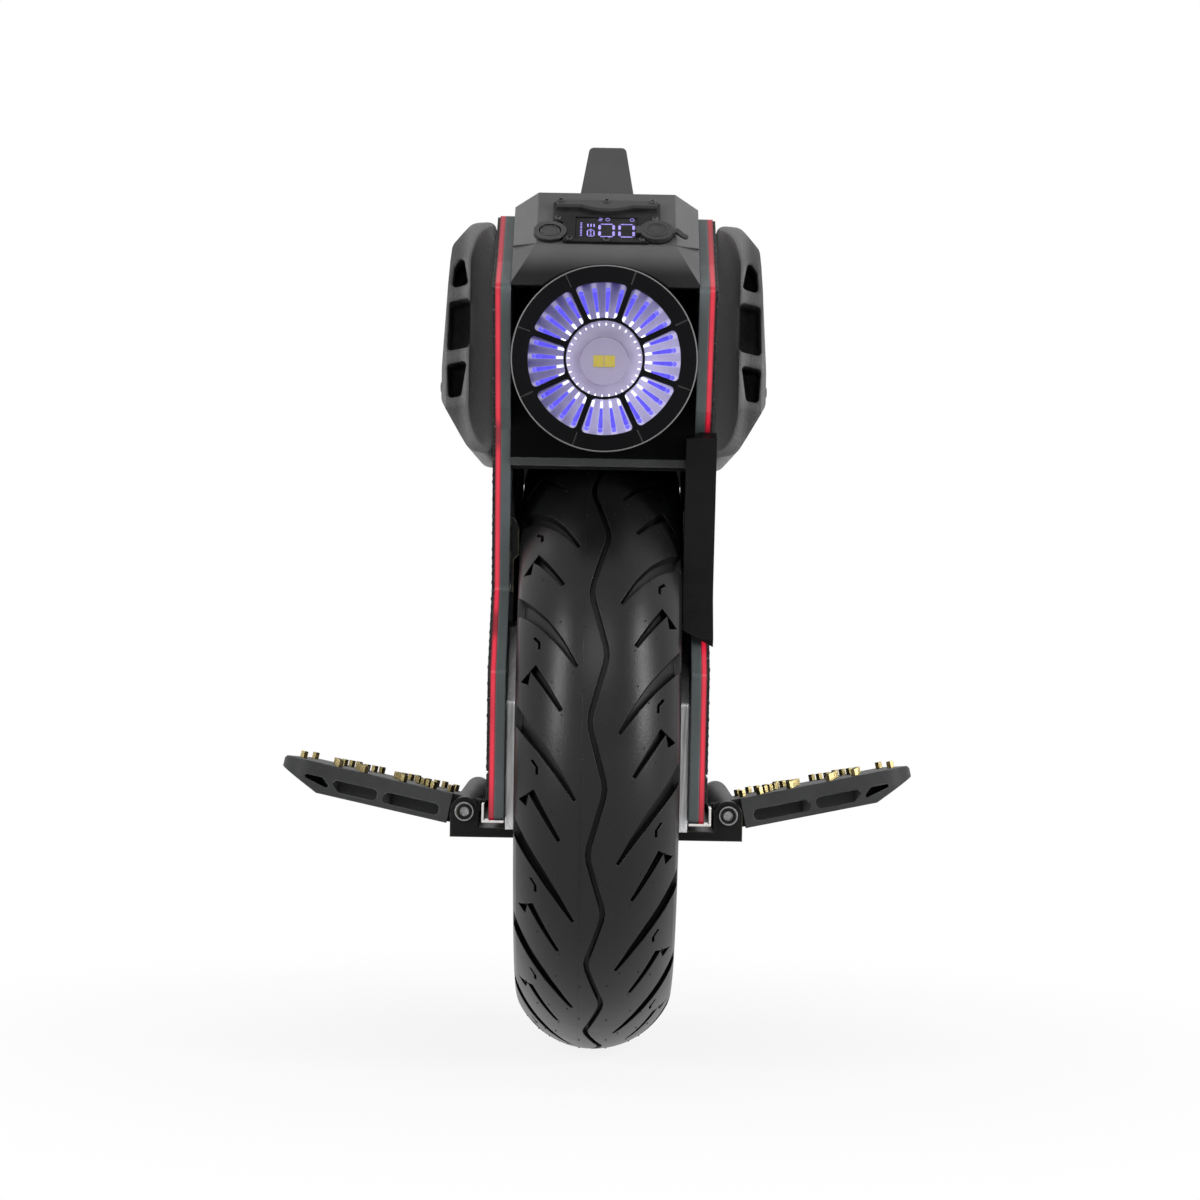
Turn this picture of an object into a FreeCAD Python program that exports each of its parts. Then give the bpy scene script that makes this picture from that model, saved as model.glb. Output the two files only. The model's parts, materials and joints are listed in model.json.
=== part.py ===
import FreeCAD, Part
import math
import os

# Electric unicycle in millimetres.
# The origin is the ground point under the wheel, +Z is up and -Y is the front.
# Left is the -X side, as seen by someone who looks at the front.

# Tyre
tyre_radius = 207.0
tyre_half_width = 50.0
crown_radius = 55.0
crown_half_width = 48.5
sidewall_bulge_radius = 160.0
bead_radius = 127.0
bead_half_width = 33.0
bead_foot = 9.0
bead_height = 13.0
tread_thickness = 9.0
sidewall_thickness = 7.0
inner_shoulder_inset = 1.0

# Tread
tread_pitches = 16
groove_depth = 4.5
groove_reach = 36.0
zigzag_half_swing = 4.8
zigzag_width = 3.4
zigzag_start_deg = -4.8
# Shares of the run and of the swing along one leg of the wavy centre groove
zigzag_bend = [(-1.0, -1.0), (-0.7, -0.85), (0.0, 0.0), (0.7, 0.85), (1.0, 1.0)]
right_side_lag_deg = 11.2
sweep_groove_deg = 1.2
sweep_line = [(53.5, -27.0), (33.0, -3.5), (23.4, 9.5), (13.0, 26.0)]
sweep_widths = [9.0, 6.5, 4.6, 2.0]
tick_groove_deg = 3.3
tick_line = [(39.4, -4.0), (36.2, 0.0), (36.2, 4.5)]
tick_widths = [1.6, 1.6, 1.6]
hook_groove_deg = 10.9
hook_line = [(44.8, -1.5), (39.5, -10.0), (22.0, 17.5)]
hook_widths = [5.5, 5.0, 2.4]

# Rim and hub motor
rim_seat_gap = 0.1
rim_flange_height = 11.0
rim_flange_thickness = 4.3
rim_well_depth = 9.0
rim_well_half_width = 20.0
rim_ring_thickness = 13.0
rim_shoulder_half_width = 30.0
cover_thickness = 6.0
cover_register = 1.0
cover_dish = 8.0
cover_flat_radius = 100.0
cover_dish_radius = 60.0
bearing_boss_wall = 10.0
bearing_boss_proud = 5.0
bearing_outer_radius = 23.5
bearing_bore_radius = 10.05
bearing_width = 14.0
bearing_seat_gap = 0.05
magnet_thickness = 4.0
air_gap = 0.9
stator_half_width = 20.0
stator_slots = 36
slot_width = 5.0
slot_depth = 16.0
stator_rim_depth = 30.0
stator_web_half_width = 5.0
winding_overhang = 7.0
winding_root = 4.0
winding_tip_inset = 3.0
cover_screw_count = 8
cover_screw_flats = 8.0
cover_screw_height = 3.0
valve_radius = 2.5
valve_root = 2.0
valve_reach = 46.0
valve_cap_radius = 4.0
valve_cap_length = 8.0

# Axle
axle_radius = 10.0
axle_shoulder_radius = 13.0
axle_end_radius = 8.0
axle_flat_half_width = 6.0
axle_nut_flats = 22.0
axle_nut_gap = 0.1
axle_hole_gap = 0.1

# Layers on each side, from the wheel outwards
hanger_inner_x = 51.5
hanger_thickness = 5.5
plate_thickness = 6.0
strip_thickness = 3.5
pad_thickness = 2.5
bumper_thickness = 33.0
layer_gap = 0.3

# Side plate outline, the same at the front and the rear
plate_top_z = 537.0
plate_top_reach = 116.0
plate_shoulder_reach = 161.0
plate_shoulder_z = 503.0
plate_nose_reach = 190.0
plate_nose_z = 485.0
plate_throat_reach = 151.0
plate_throat_z = 414.0
plate_neck_reach = 139.0
plate_neck_z = 401.0
plate_waist_reach = 113.0
plate_waist_z = 303.0
plate_foot_reach = 156.0
plate_foot_z = 252.0
plate_toe_reach = 148.0
plate_bottom_z = 160.0
plate_corner_radius = 5.0
axle_window_radius = 17.0
strip_depth = 8.0
pad_split_z = 385.0
pad_split_gap = 2.0
pad_bottom_z = 172.0
pad_low_split_z = 190.0
clip_wall = 1.5
clip_height = 10.0
clip_length = 12.0
clip_inset = 1.0

# Hanger plate and pedal bracket
hanger_top_z = 281.0
hanger_top_reach = 85.0
hanger_foot_reach = 120.0
hanger_bend_z = 232.0
foot_bottom_z = 146.0
foot_thickness = 6.0
hinge_x = 83.3
hinge_z = 162.3
hinge_pin_radius = 4.0
hinge_running_gap = 0.05
ear_radius = 9.0
ear_thickness = 13.0
ear_side_gap = 0.3
pin_head_radius = 6.0
pin_head_height = 3.0
pin_socket_radius = 2.5
pin_socket_depth = 2.0

# Pedal
pedal_half_length = 105.0
pedal_tilt_deg = 12.0
pedal_pitch_deg = 3.6
pedal_top_rise = 9.2
pedal_thickness = 19.0
pedal_band = 7.0
pedal_tip_reach = 119.7
pedal_heel_reach = 8.0
pedal_tip_bevel = 26.0
pedal_tip_radius = 20.0
pedal_edge_bevel = 2.0
pedal_wall = 8.0
pedal_web = 8.0
pedal_ear_relief = 0.5
truss_heel = 16.0
truss_post_1 = 52.0
truss_post_2 = 88.0
truss_post_width = 4.0
truss_lean = 8.0
truss_rail = 3.3
truss_corner_radius = 3.0
tip_window_length = 19.0
tip_window_depth = 30.0
stud_radius = 2.2
stud_height = 4.5
stud_rows = 7
stud_row_reach = 90.0
stud_single_offset = 45.0
stud_tip_reach = 111.6
stud_heel_reach = 13.5
# Reach of each line of studs at its middle and at its ends
stud_lines = [(93.0, 84.5), (78.0, 68.0), (52.0, 42.5), (37.0, 23.0)]

# Bumper outline seen from the front, measured from the plate side outwards
bumper_top_z = 535.0
bumper_bottom_z = 387.0
bumper_lip_z = 400.0
bumper_brow_z = 517.0
bumper_brow_inset = 6.0
bumper_lip_inset = 12.0
bumper_reach = 132.0
bumper_heel_reach = 112.0
bumper_frame_inset = 18.0
bumper_cheek_rise = 40.0
bumper_corner_radius = 9.0
bumper_side_radius = 24.0
bumper_pocket_depth = 50.0
bumper_pocket_radius = 2.5
bumper_rib = 4.0
bumper_frame_wall = 4.0
bumper_top_fall = 2.0
bumper_bottom_rise = 3.0
bumper_scoop_shift = 2.5
bumper_scoop_depth = 6.0
bumper_brow_width = 4.0
bumper_brow_fall = 2.0
bumper_rib_fall = 3.0
bumper_window_lean = 3.5
bumper_window_taper = 9.0
bumper_pocket_top_z = 511.0
bumper_rib_upper_z = 488.0
bumper_rib_lower_z = 449.0
bumper_pocket_bottom_z = 421.0

# Top cap, display panel and brow
cap_top_z = 550.0
cap_flat_half_width = 42.4
cap_facet_drop = 9.0
cap_wall = 3.0
panel_low_reach = 172.0
panel_low_z = 513.0
panel_angle_deg = 41.4
brow_reach = 188.0
brow_bottom_z = 486.0
brow_thickness = 16.0
brow_facet_low_z = 496.0

# Headlight
lamp_z = 442.0
lamp_face_reach = 195.0
lamp_radius = 56.0
lamp_shadow_gap = 2.2
lamp_window_outer = 46.0
lamp_window_inner = 24.5
lamp_window_corner = 2.5
lamp_spokes = 8
lamp_spoke_width = 3.4
lamp_spoke_start_deg = 25.8
lamp_rim_groove_width = 1.2
lamp_rim_groove_depth = 0.8
lamp_bezel_thickness = 4.0
lamp_skirt_length = 12.0
lamp_skirt_wall = 2.3
lamp_spoke_root = 2.0
lamp_glass_thickness = 2.0
lamp_lens_radius = 22.8
lamp_lens_dome = 3.0
lamp_lens_thickness = 6.0
lamp_cup_wall = 3.0
lamp_part_gap = 0.2
led_board_setback = 13.0
led_board_thickness = 2.0
emitter_stage_radius = 14.0
emitter_setback = 22.0
emitter_width = 12.6
emitter_height = 6.7
emitter_thickness = 1.2

# Bulkhead, crossbars, fender and inner pieces
bulkhead_reach = 141.0
bulkhead_thickness = 3.0
crossbar_z = 382.0
crossbar_height = 5.0
crossbar_depth = 12.0
fender_gap = 7.0
fender_thickness = 3.0
fender_stay_thickness = 4.5
fender_stay_half_depth = 14.0
rear_sheet = 4.0
rear_knee_inset = 3.0
tail_half_width = 36.0
tail_top_share = 0.18
tail_bottom_share = 0.52
tail_proud = 2.0
tail_inset = 0.25
battery_top_z = 505.0
battery_split = 6.0
battery_rear_reach = 128.0
controller_depth = 32.0
controller_half_width = 50.0
controller_height = 80.0
controller_fins = 7
fin_depth = 8.0

# Display
bezel_half_width = 33.0
bezel_length = 43.0
bezel_start = 0.5
bezel_foot_half_width = 26.5
bezel_shoulder = 22.0
bezel_thickness = 2.0
bezel_corner_radius = 2.0
screen_half_width = 19.0
screen_low = 4.0
screen_high = 27.0
screen_gap = 0.2
screen_setback = 0.6
screen_thickness = 3.0
hood_height = 3.0
hood_margin = 2.0
hood_low = 32.0
hood_swell = 4.0

# Power button and charge port, placed on the panel by offset and height up the slope
button_x = -34.4
button_up = 11.0
button_ring_radius = 10.0
button_ring_height = 2.6
button_radius = 6.6
button_gap = 0.3
button_proud = 2.2
button_edge_radius = 0.8
button_depth = 6.0
button_travel = 1.5
sleeve_wall = 2.0
sleeve_floor = 2.0
port_x = 30.7
port_up = 11.0
port_flange_radius = 9.6
port_flange_height = 0.8
port_socket_radius = 7.5
port_socket_depth = 11.0
port_pin_radius = 1.2
port_pin_length = 6.0
port_pin_circle = 3.6
port_pin_root = 0.5
port_pin_count = 3
port_cap_radius = 10.2
port_cap_thickness = 3.2
port_cap_gap = 0.3
port_bung_gap = 0.5
port_bung_depth = 2.5
strap_reach = 18.0
strap_width = 4.2
strap_thickness = 1.6
strap_sway = 2.5
strap_root = 1.0
strap_bend = 3.0
strap_end_width = 3.0
grip_tab_reach = 12.5
grip_tab_width = 7.0
grip_tab_lift = 0.8

# Carry handle
handle_top_z = 588.0
handle_base_half_width = 18.0
handle_top_half_width = 11.5
handle_base_reach = 84.0
handle_top_reach = 72.0
handle_gap_reach = 56.0
handle_gap_height = 23.0
handle_gap_radius = 11.0
handle_edge_radius = 4.0

# Motor cable and its cover on the right side, and the clips
cable_radius = 2.8
cable_slot_gap = 0.5
cable_bend_radius = 18.0
cable_rise = 39.0
cable_forward = 70.0
cable_lift = 16.0
cable_edge_standoff = 7.0
cable_exit_x = 46.0
cable_entry_reach = 122.0
cable_entry_z = 404.0
cable_turn_rise = 8.0
guard_depth = 14.0
guard_top_z = 407.0
guard_bottom_z = 269.0
guard_overlap = 1.3
guard_slant = 5.0
clip_low_z = 312.0
clip_high_z = 359.0
clip_setback = 14.0
clip_arm = 3.0
clip_edge_inset = 2.0
clip_left_drop = 11.0

# Working allowances of the modelling
cut_margin = 5.0
corner_room_share = 0.48
match_tolerance = 0.01

# Values that follow from the sizes above
axle_z = tyre_radius
hanger_outer_x = hanger_inner_x + hanger_thickness
plate_outer_x = hanger_outer_x + plate_thickness
strip_outer_x = plate_outer_x + strip_thickness
pad_outer_x = strip_outer_x + pad_thickness
bumper_outer_x = pad_outer_x + bumper_thickness
body_half_width = hanger_outer_x
crown_drop = crown_radius - math.sqrt(crown_radius ** 2 - crown_half_width ** 2)
pitch_deg = 360.0 / tread_pitches
rim_seat_radius = bead_radius - rim_seat_gap
rim_well_radius = rim_seat_radius - rim_well_depth
rim_bore_radius = rim_well_radius - rim_ring_thickness
rim_flange_x = bead_half_width + rim_seat_gap
rim_side_x = rim_flange_x + rim_flange_thickness
cover_radius = rim_well_radius + cover_register
magnet_inner_radius = rim_bore_radius - magnet_thickness
stator_radius = magnet_inner_radius - air_gap
bearing_outer_x = rim_shoulder_half_width + cover_thickness + cover_dish + bearing_boss_proud
bearing_inner_x = bearing_outer_x - bearing_width
axle_end_x = plate_outer_x - axle_nut_gap
foot_top_z = foot_bottom_z + foot_thickness
ear_inner_y = pedal_half_length - ear_thickness
panel_sine = math.sin(math.radians(panel_angle_deg))
panel_cosine = math.cos(math.radians(panel_angle_deg))
panel_length = (cap_top_z - panel_low_z) / panel_sine
panel_high_reach = panel_low_reach - panel_length * panel_cosine
cable_x = hanger_outer_x + plate_thickness / 2.0
fender_inner_radius = tyre_radius + fender_gap
fender_outer_radius = fender_inner_radius + fender_thickness
bulkhead_rear_reach = bulkhead_reach - bulkhead_thickness
crossbar_top_z = crossbar_z + crossbar_height / 2.0
bay_floor_z = axle_z + fender_outer_radius + layer_gap

axle_centre = FreeCAD.Vector(0, 0, axle_z)
axis_x = FreeCAD.Vector(1, 0, 0)
axis_y = FreeCAD.Vector(0, 1, 0)
axis_z = FreeCAD.Vector(0, 0, 1)
origin = FreeCAD.Vector(0, 0, 0)

os.makedirs("parts", exist_ok=True)


# Helpers

def in_yz(points, x):
    return [FreeCAD.Vector(x, y, z) for y, z in points]


def in_xz(points, y):
    return [FreeCAD.Vector(x, y, z) for x, z in points]


def in_xy(points, z):
    return [FreeCAD.Vector(x, y, z) for x, y in points]


def polygon(points):
    return Part.makePolygon(points + [points[0]])


def line(start, end):
    return Part.LineSegment(start, end).toShape()


def arc(start, middle, end):
    return Part.Arc(start, middle, end).toShape()


def corner_arc(before, corner, after, radius):
    """Start, middle and end of the tangent arc at a corner, limited by its two edges."""
    back = before - corner
    ahead = after - corner
    room = corner_room_share * min(back.Length, ahead.Length)
    half_angle = back.getAngle(ahead) / 2.0
    trim = min(radius / math.tan(half_angle), room)
    true_radius = trim * math.tan(half_angle)
    back.normalize()
    ahead.normalize()
    bisector = back + ahead
    bisector.normalize()
    middle = corner + bisector * (true_radius / math.sin(half_angle) - true_radius)
    return corner + back * trim, middle, corner + ahead * trim


def rounded(points, radius):
    """Closed outline whose corners are tangent arcs."""
    count = len(points)
    arcs = []
    for index in range(count):
        arcs.append(corner_arc(points[index - 1], points[index], points[(index + 1) % count], radius))
    edges = []
    for index in range(count):
        start, middle, end = arcs[index]
        edges.append(arc(start, middle, end))
        edges.append(line(end, arcs[(index + 1) % count][0]))
    return Part.Wire(edges)


def prism(wire, direction, length):
    return Part.Face(wire).extrude(direction * length)


def block(x0, x1, y0, y1, z0, z1):
    return Part.makeBox(x1 - x0, y1 - y0, z1 - z0, FreeCAD.Vector(x0, y0, z0))


def turned_on_axle(points):
    """Ring turned about the axle from points of distance across and radius."""
    outline = [FreeCAD.Vector(x, 0, axle_z + radius) for x, radius in points]
    return Part.Face(polygon(outline)).revolve(axle_centre, axis_x, 360)


def hexagon_prism(centre, flats, height, direction):
    circle_radius = flats / math.sqrt(3.0)
    side = axis_x if abs(direction.y) > match_tolerance else axis_y
    other = direction.cross(side)
    corners = []
    for index in range(6):
        angle = math.radians(60.0 * index)
        corners.append(centre + side * (circle_radius * math.cos(angle))
                       + other * (circle_radius * math.sin(angle)))
    return prism(polygon(corners), direction, height)


def mirrored(shape):
    return shape.mirror(origin, axis_x)


def rear_copy(shape):
    return shape.mirror(origin, axis_y)


def save(name, shape):
    shape.exportStep("parts/" + name + ".step")


def save_pair(name, right_shape):
    save(name + "_right", right_shape)
    save(name + "_left", mirrored(right_shape))


def on_panel(shape):
    """Move a shape from the panel's own axes (across, up the slope, outwards) to its place."""
    placed = shape.copy()
    placed.rotate(origin, axis_x, panel_angle_deg)
    placed.translate(FreeCAD.Vector(0, -panel_low_reach, panel_low_z))
    return placed


def panel_cylinder(x, up, radius, low, high):
    base = FreeCAD.Vector(x, up, low)
    return Part.makeCylinder(radius, high - low, base, axis_z)


def ribbon(points, widths):
    """Outline of a strip along a few points, with its own width at each."""
    left = []
    right = []
    for index, point in enumerate(points):
        before = points[max(index - 1, 0)]
        after = points[min(index + 1, len(points) - 1)]
        run = FreeCAD.Vector(after[0] - before[0], after[1] - before[1], 0)
        run.normalize()
        half = widths[index] / 2.0
        left.append((point[0] - run.y * half, point[1] + run.x * half))
        right.append((point[0] + run.y * half, point[1] - run.x * half))
    return left + right[::-1]


# Wheel

def make_tyre():
    crown_edge = tyre_radius - crown_drop
    inner_edge = crown_edge - sidewall_thickness
    shoulder = crown_half_width - sidewall_thickness - inner_shoulder_inset
    bead_inner = bead_half_width - bead_foot
    points = {
        "crown": (0.0, tyre_radius),
        "shoulder": (crown_half_width, crown_edge),
        "bulge": (tyre_half_width, sidewall_bulge_radius),
        "bead_top": (bead_half_width, bead_radius + bead_height),
        "bead_toe": (bead_half_width, bead_radius),
        "bead_heel": (bead_inner, bead_radius),
        "bead_root": (bead_inner, bead_radius + bead_height + bead_foot / 2.0),
        "inner_bulge": (tyre_half_width - sidewall_thickness, sidewall_bulge_radius),
        "inner_shoulder": (shoulder, inner_edge),
        "inner_crown": (0.0, tyre_radius - tread_thickness),
    }

    def place(name, side):
        across, radius = points[name]
        return FreeCAD.Vector(side * across, 0, axle_z + radius)

    def half(side):
        return [
            arc(place("shoulder", side), place("bulge", side), place("bead_top", side)),
            line(place("bead_top", side), place("bead_toe", side)),
            line(place("bead_toe", side), place("bead_heel", side)),
            line(place("bead_heel", side), place("bead_root", side)),
            arc(place("bead_root", side), place("inner_bulge", side), place("inner_shoulder", side)),
        ]

    edges = half(1) + half(-1)
    edges.append(arc(place("shoulder", -1), place("crown", 1), place("shoulder", 1)))
    edges.append(arc(place("inner_shoulder", -1), place("inner_crown", 1), place("inner_shoulder", 1)))
    outline = Part.Wire(Part.sortEdges(edges)[0])
    body = Part.Face(outline).revolve(axle_centre, axis_x, 360)
    return body.cut(tread_tools())


def tread_tools():
    """Every groove of the tread, each a radial prism that stops at the groove floor."""
    floor_radius = crown_radius - groove_depth
    floor_centre = tyre_radius - crown_radius
    floor_crown = FreeCAD.Vector(0, 0, axle_z + tyre_radius - groove_depth)
    floor_left = FreeCAD.Vector(-floor_radius, 0, axle_z + floor_centre)
    floor_right = FreeCAD.Vector(floor_radius, 0, axle_z + floor_centre)
    foot_left = FreeCAD.Vector(-floor_radius, 0, axle_z + rim_bore_radius)
    foot_right = FreeCAD.Vector(floor_radius, 0, axle_z + rim_bore_radius)
    floor_edges = [
        arc(floor_left, floor_crown, floor_right),
        line(floor_right, foot_right),
        line(foot_right, foot_left),
        line(foot_left, floor_left),
    ]
    floor = Part.Face(Part.Wire(floor_edges)).revolve(axle_centre, axis_x, 360)

    sweep = ribbon(sweep_line, sweep_widths)
    hook = ribbon(hook_line, hook_widths)
    tick = ribbon(tick_line, tick_widths)
    half_run = tyre_radius * math.sin(math.radians(pitch_deg / 4.0)) + zigzag_width / 3.0
    zig_line = [(swing * zigzag_half_swing, run * half_run) for run, swing in zigzag_bend]
    zig = ribbon(zig_line, [zigzag_width] * len(zig_line))
    zag = [(-x, t) for x, t in zig]

    def tool(outline, side, angle):
        start = -(tyre_radius + cut_margin)
        placed = [FreeCAD.Vector(side * x, start, axle_z - t) for x, t in outline]
        shape = prism(polygon(placed), axis_y, groove_reach + cut_margin).cut(floor)
        shape.rotate(axle_centre, axis_x, angle)
        return shape

    one_pitch = []
    for side, lag in ((-1, 0.0), (1, right_side_lag_deg)):
        one_pitch.append(tool(sweep, side, lag + sweep_groove_deg))
        one_pitch.append(tool(hook, side, lag + hook_groove_deg))
        one_pitch.append(tool(tick, side, lag + tick_groove_deg))
    one_pitch.append(tool(zig, 1, zigzag_start_deg + pitch_deg / 4.0))
    one_pitch.append(tool(zag, 1, zigzag_start_deg + pitch_deg * 3.0 / 4.0))

    tools = []
    for index in range(tread_pitches):
        for shape in one_pitch:
            turned = shape.copy()
            turned.rotate(axle_centre, axis_x, index * pitch_deg)
            tools.append(turned)
    return tools


def make_rim():
    flange_radius = bead_radius + rim_flange_height
    half = [
        (rim_well_half_width, rim_well_radius),
        (bead_half_width - bead_foot, rim_seat_radius),
        (rim_flange_x, rim_seat_radius),
        (rim_flange_x, flange_radius),
        (rim_side_x, flange_radius),
        (rim_side_x, cover_radius + rim_seat_gap),
        (rim_shoulder_half_width, cover_radius + rim_seat_gap),
        (rim_shoulder_half_width, rim_bore_radius),
    ]
    outline = half + [(-x, radius) for x, radius in half[::-1]]
    return turned_on_axle(outline).cut(valve_tube(valve_radius + rim_seat_gap))


def valve_height():
    return (cover_radius + rim_seat_radius) / 2.0


def valve_tube(radius):
    base = FreeCAD.Vector(rim_well_half_width - valve_root, 0, axle_z + valve_height())
    return Part.makeCylinder(radius, valve_reach - base.x, base, axis_x)


def make_valve():
    cap_base = FreeCAD.Vector(valve_reach - valve_cap_length, 0, axle_z + valve_height())
    cap = Part.makeCylinder(valve_cap_radius, valve_cap_length, cap_base, axis_x)
    return valve_tube(valve_radius).fuse(cap).removeSplitter()


def make_motor_cover():
    seat = bearing_outer_radius + bearing_seat_gap
    boss = bearing_outer_radius + bearing_boss_wall
    inner = rim_shoulder_half_width
    outer = inner + cover_thickness
    return turned_on_axle([
        (inner, cover_radius),
        (outer, cover_radius),
        (outer, cover_flat_radius),
        (outer + cover_dish, cover_dish_radius),
        (outer + cover_dish, boss),
        (bearing_outer_x, boss),
        (bearing_outer_x, seat),
        (bearing_inner_x, seat),
        (bearing_inner_x, boss),
        (inner + cover_dish, boss),
        (inner + cover_dish, cover_dish_radius),
        (inner, cover_flat_radius),
    ])


def make_cover_screws():
    screws = []
    circle = (cover_radius + cover_flat_radius) / 2.0
    face = rim_shoulder_half_width + cover_thickness
    for index in range(cover_screw_count):
        centre = FreeCAD.Vector(face, 0, axle_z + circle)
        screw = hexagon_prism(centre, cover_screw_flats, cover_screw_height, axis_x)
        screw.rotate(axle_centre, axis_x, 360.0 * index / cover_screw_count)
        screws.append(screw)
        screws.append(mirrored(screw))
    return Part.makeCompound(screws)


def make_bearings():
    ring = turned_on_axle([(bearing_inner_x, bearing_bore_radius), (bearing_outer_x, bearing_bore_radius),
                           (bearing_outer_x, bearing_outer_radius), (bearing_inner_x, bearing_outer_radius)])
    return Part.makeCompound([ring, mirrored(ring)])


def make_magnets():
    outer = rim_bore_radius - rim_seat_gap
    return turned_on_axle([(-stator_half_width, magnet_inner_radius), (stator_half_width, magnet_inner_radius),
                           (stator_half_width, outer), (-stator_half_width, outer)])


def make_stator():
    bore = axle_shoulder_radius + axle_hole_gap
    ring_inner = stator_radius - stator_rim_depth
    core = turned_on_axle([
        (-stator_half_width, stator_radius),
        (stator_half_width, stator_radius),
        (stator_half_width, ring_inner),
        (stator_web_half_width, ring_inner),
        (stator_web_half_width, bore),
        (-stator_web_half_width, bore),
        (-stator_web_half_width, ring_inner),
        (-stator_half_width, ring_inner),
    ])
    slots = []
    for index in range(stator_slots):
        slot = block(-stator_half_width - cut_margin, stator_half_width + cut_margin,
                     -slot_width / 2.0, slot_width / 2.0,
                     axle_z + stator_radius - slot_depth, axle_z + stator_radius + cut_margin)
        slot.rotate(axle_centre, axis_x, 360.0 * index / stator_slots)
        slots.append(slot)
    return core.cut(slots)


def make_windings():
    low = stator_radius - slot_depth - winding_root
    high = stator_radius - winding_tip_inset
    start = stator_half_width
    end = stator_half_width + winding_overhang
    bevel = winding_overhang / 3.0
    ring = turned_on_axle([(start, low), (end - bevel, low), (end, low + bevel),
                           (end, high - bevel), (end - bevel, high), (start, high)])
    return Part.makeCompound([ring, mirrored(ring)])


def make_axle():
    shoulder_x = bearing_inner_x - layer_gap
    shaft = axle_rod(axle_radius, hanger_inner_x)
    shoulder = axle_rod(axle_shoulder_radius, shoulder_x)
    axle = shaft.fuse([shoulder, axle_spigot(0.0)]).removeSplitter()
    return axle.cut(cable_tube(cable_radius + cable_slot_gap))


def axle_rod(radius, half_length):
    return Part.makeCylinder(radius, 2 * half_length, FreeCAD.Vector(-half_length, 0, axle_z), axis_x)


def axle_spigot(gap):
    """Flatted ends of the axle that key into the hangers."""
    rod = axle_rod(axle_end_radius + gap, axle_end_x)
    reach = axle_end_x + cut_margin
    half = axle_flat_half_width + gap
    width = axle_end_radius + cut_margin
    return rod.common(block(-reach, reach, -half, half, axle_z - width, axle_z + width))


def make_axle_nuts():
    start = FreeCAD.Vector(hanger_outer_x, 0, axle_z)
    nut = hexagon_prism(start, axle_nut_flats, axle_end_x - hanger_outer_x, axis_x)
    nut = nut.cut(axle_spigot(axle_nut_gap))
    slotted = nut.cut(cable_tube(cable_radius + cable_slot_gap))
    return Part.makeCompound([slotted, mirrored(nut)])


# Motor cable

def plate_edge_reach(z):
    """How far forward the waist edge of the side plate is at a height."""
    share = (z - plate_waist_z) / (plate_neck_z - plate_waist_z)
    return plate_waist_reach + share * (plate_neck_reach - plate_waist_reach)


def cable_points():
    low_z = axle_z + cable_rise
    edge_low_z = plate_waist_z - cable_turn_rise
    edge_high_z = plate_neck_z - 2.0 * cable_turn_rise
    return [
        FreeCAD.Vector(cable_x, 0, axle_z),
        FreeCAD.Vector(cable_x, 0, low_z),
        FreeCAD.Vector(cable_x, -cable_forward, low_z + cable_lift),
        FreeCAD.Vector(cable_x, -plate_edge_reach(edge_low_z) - cable_edge_standoff, edge_low_z),
        FreeCAD.Vector(cable_x, -plate_edge_reach(edge_high_z) - cable_edge_standoff, edge_high_z),
        FreeCAD.Vector(cable_x, -cable_entry_reach, cable_entry_z),
        FreeCAD.Vector(cable_exit_x, -cable_entry_reach, cable_entry_z + cable_turn_rise),
        FreeCAD.Vector(cable_exit_x, -cable_entry_reach, bay_floor_z),
    ]


def cable_tube(radius):
    """Tube along the cable's straight runs and tangent arcs."""
    points = cable_points()
    edges = []
    start = points[0]
    for index in range(1, len(points) - 1):
        bend_start, bend_middle, bend_end = corner_arc(points[index - 1], points[index], points[index + 1],
                                                       cable_bend_radius)
        edges.append(line(start, bend_start))
        edges.append(arc(bend_start, bend_middle, bend_end))
        start = bend_end
    edges.append(line(start, points[-1]))
    path = Part.Wire(edges)
    circle = Part.Wire(Part.makeCircle(radius, points[0], axis_z))
    return path.makePipeShell([circle], True, False)


# Side layers

def plate_outline():
    front = [
        (plate_top_reach, plate_top_z),
        (plate_shoulder_reach, plate_shoulder_z),
        (plate_nose_reach, plate_nose_z),
        (plate_throat_reach, plate_throat_z),
        (plate_neck_reach, plate_neck_z),
        (plate_waist_reach, plate_waist_z),
        (plate_foot_reach, plate_foot_z),
        (plate_toe_reach, plate_bottom_z),
    ]
    return [(-reach, z) for reach, z in front] + front[::-1]


def plate_prism(x0, x1):
    wire = rounded(in_yz(plate_outline(), x0), plate_corner_radius)
    return prism(wire, axis_x, x1 - x0)


def shifted_prism(x0, x1, shift):
    shape = plate_prism(x0, x1)
    shape.translate(FreeCAD.Vector(0, shift, 0))
    return shape


def make_side_plate(slotted):
    plate = plate_prism(hanger_outer_x, plate_outer_x)
    window_base = FreeCAD.Vector(hanger_outer_x - cut_margin, 0, axle_z)
    window = Part.makeCylinder(axle_window_radius, plate_thickness + 2 * cut_margin, window_base, axis_x)
    plate = plate.cut(window)
    if slotted:
        plate = plate.cut(cable_tube(cable_radius + cable_slot_gap))
    return plate


def make_light_strip():
    whole = plate_prism(plate_outer_x, strip_outer_x)
    band = whole.cut(shifted_prism(plate_outer_x - cut_margin, strip_outer_x + cut_margin, strip_depth))
    front_half = block(plate_outer_x, strip_outer_x, -plate_nose_reach - cut_margin, -plate_waist_reach / 2.0,
                       plate_bottom_z, plate_top_z)
    solids = band.common(front_half).Solids
    return max(solids, key=lambda solid: solid.Volume)


def inner_outline_prism(x0, x1):
    shift = strip_depth + layer_gap
    return shifted_prism(x0, x1, shift).common(shifted_prism(x0, x1, -shift))


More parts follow.
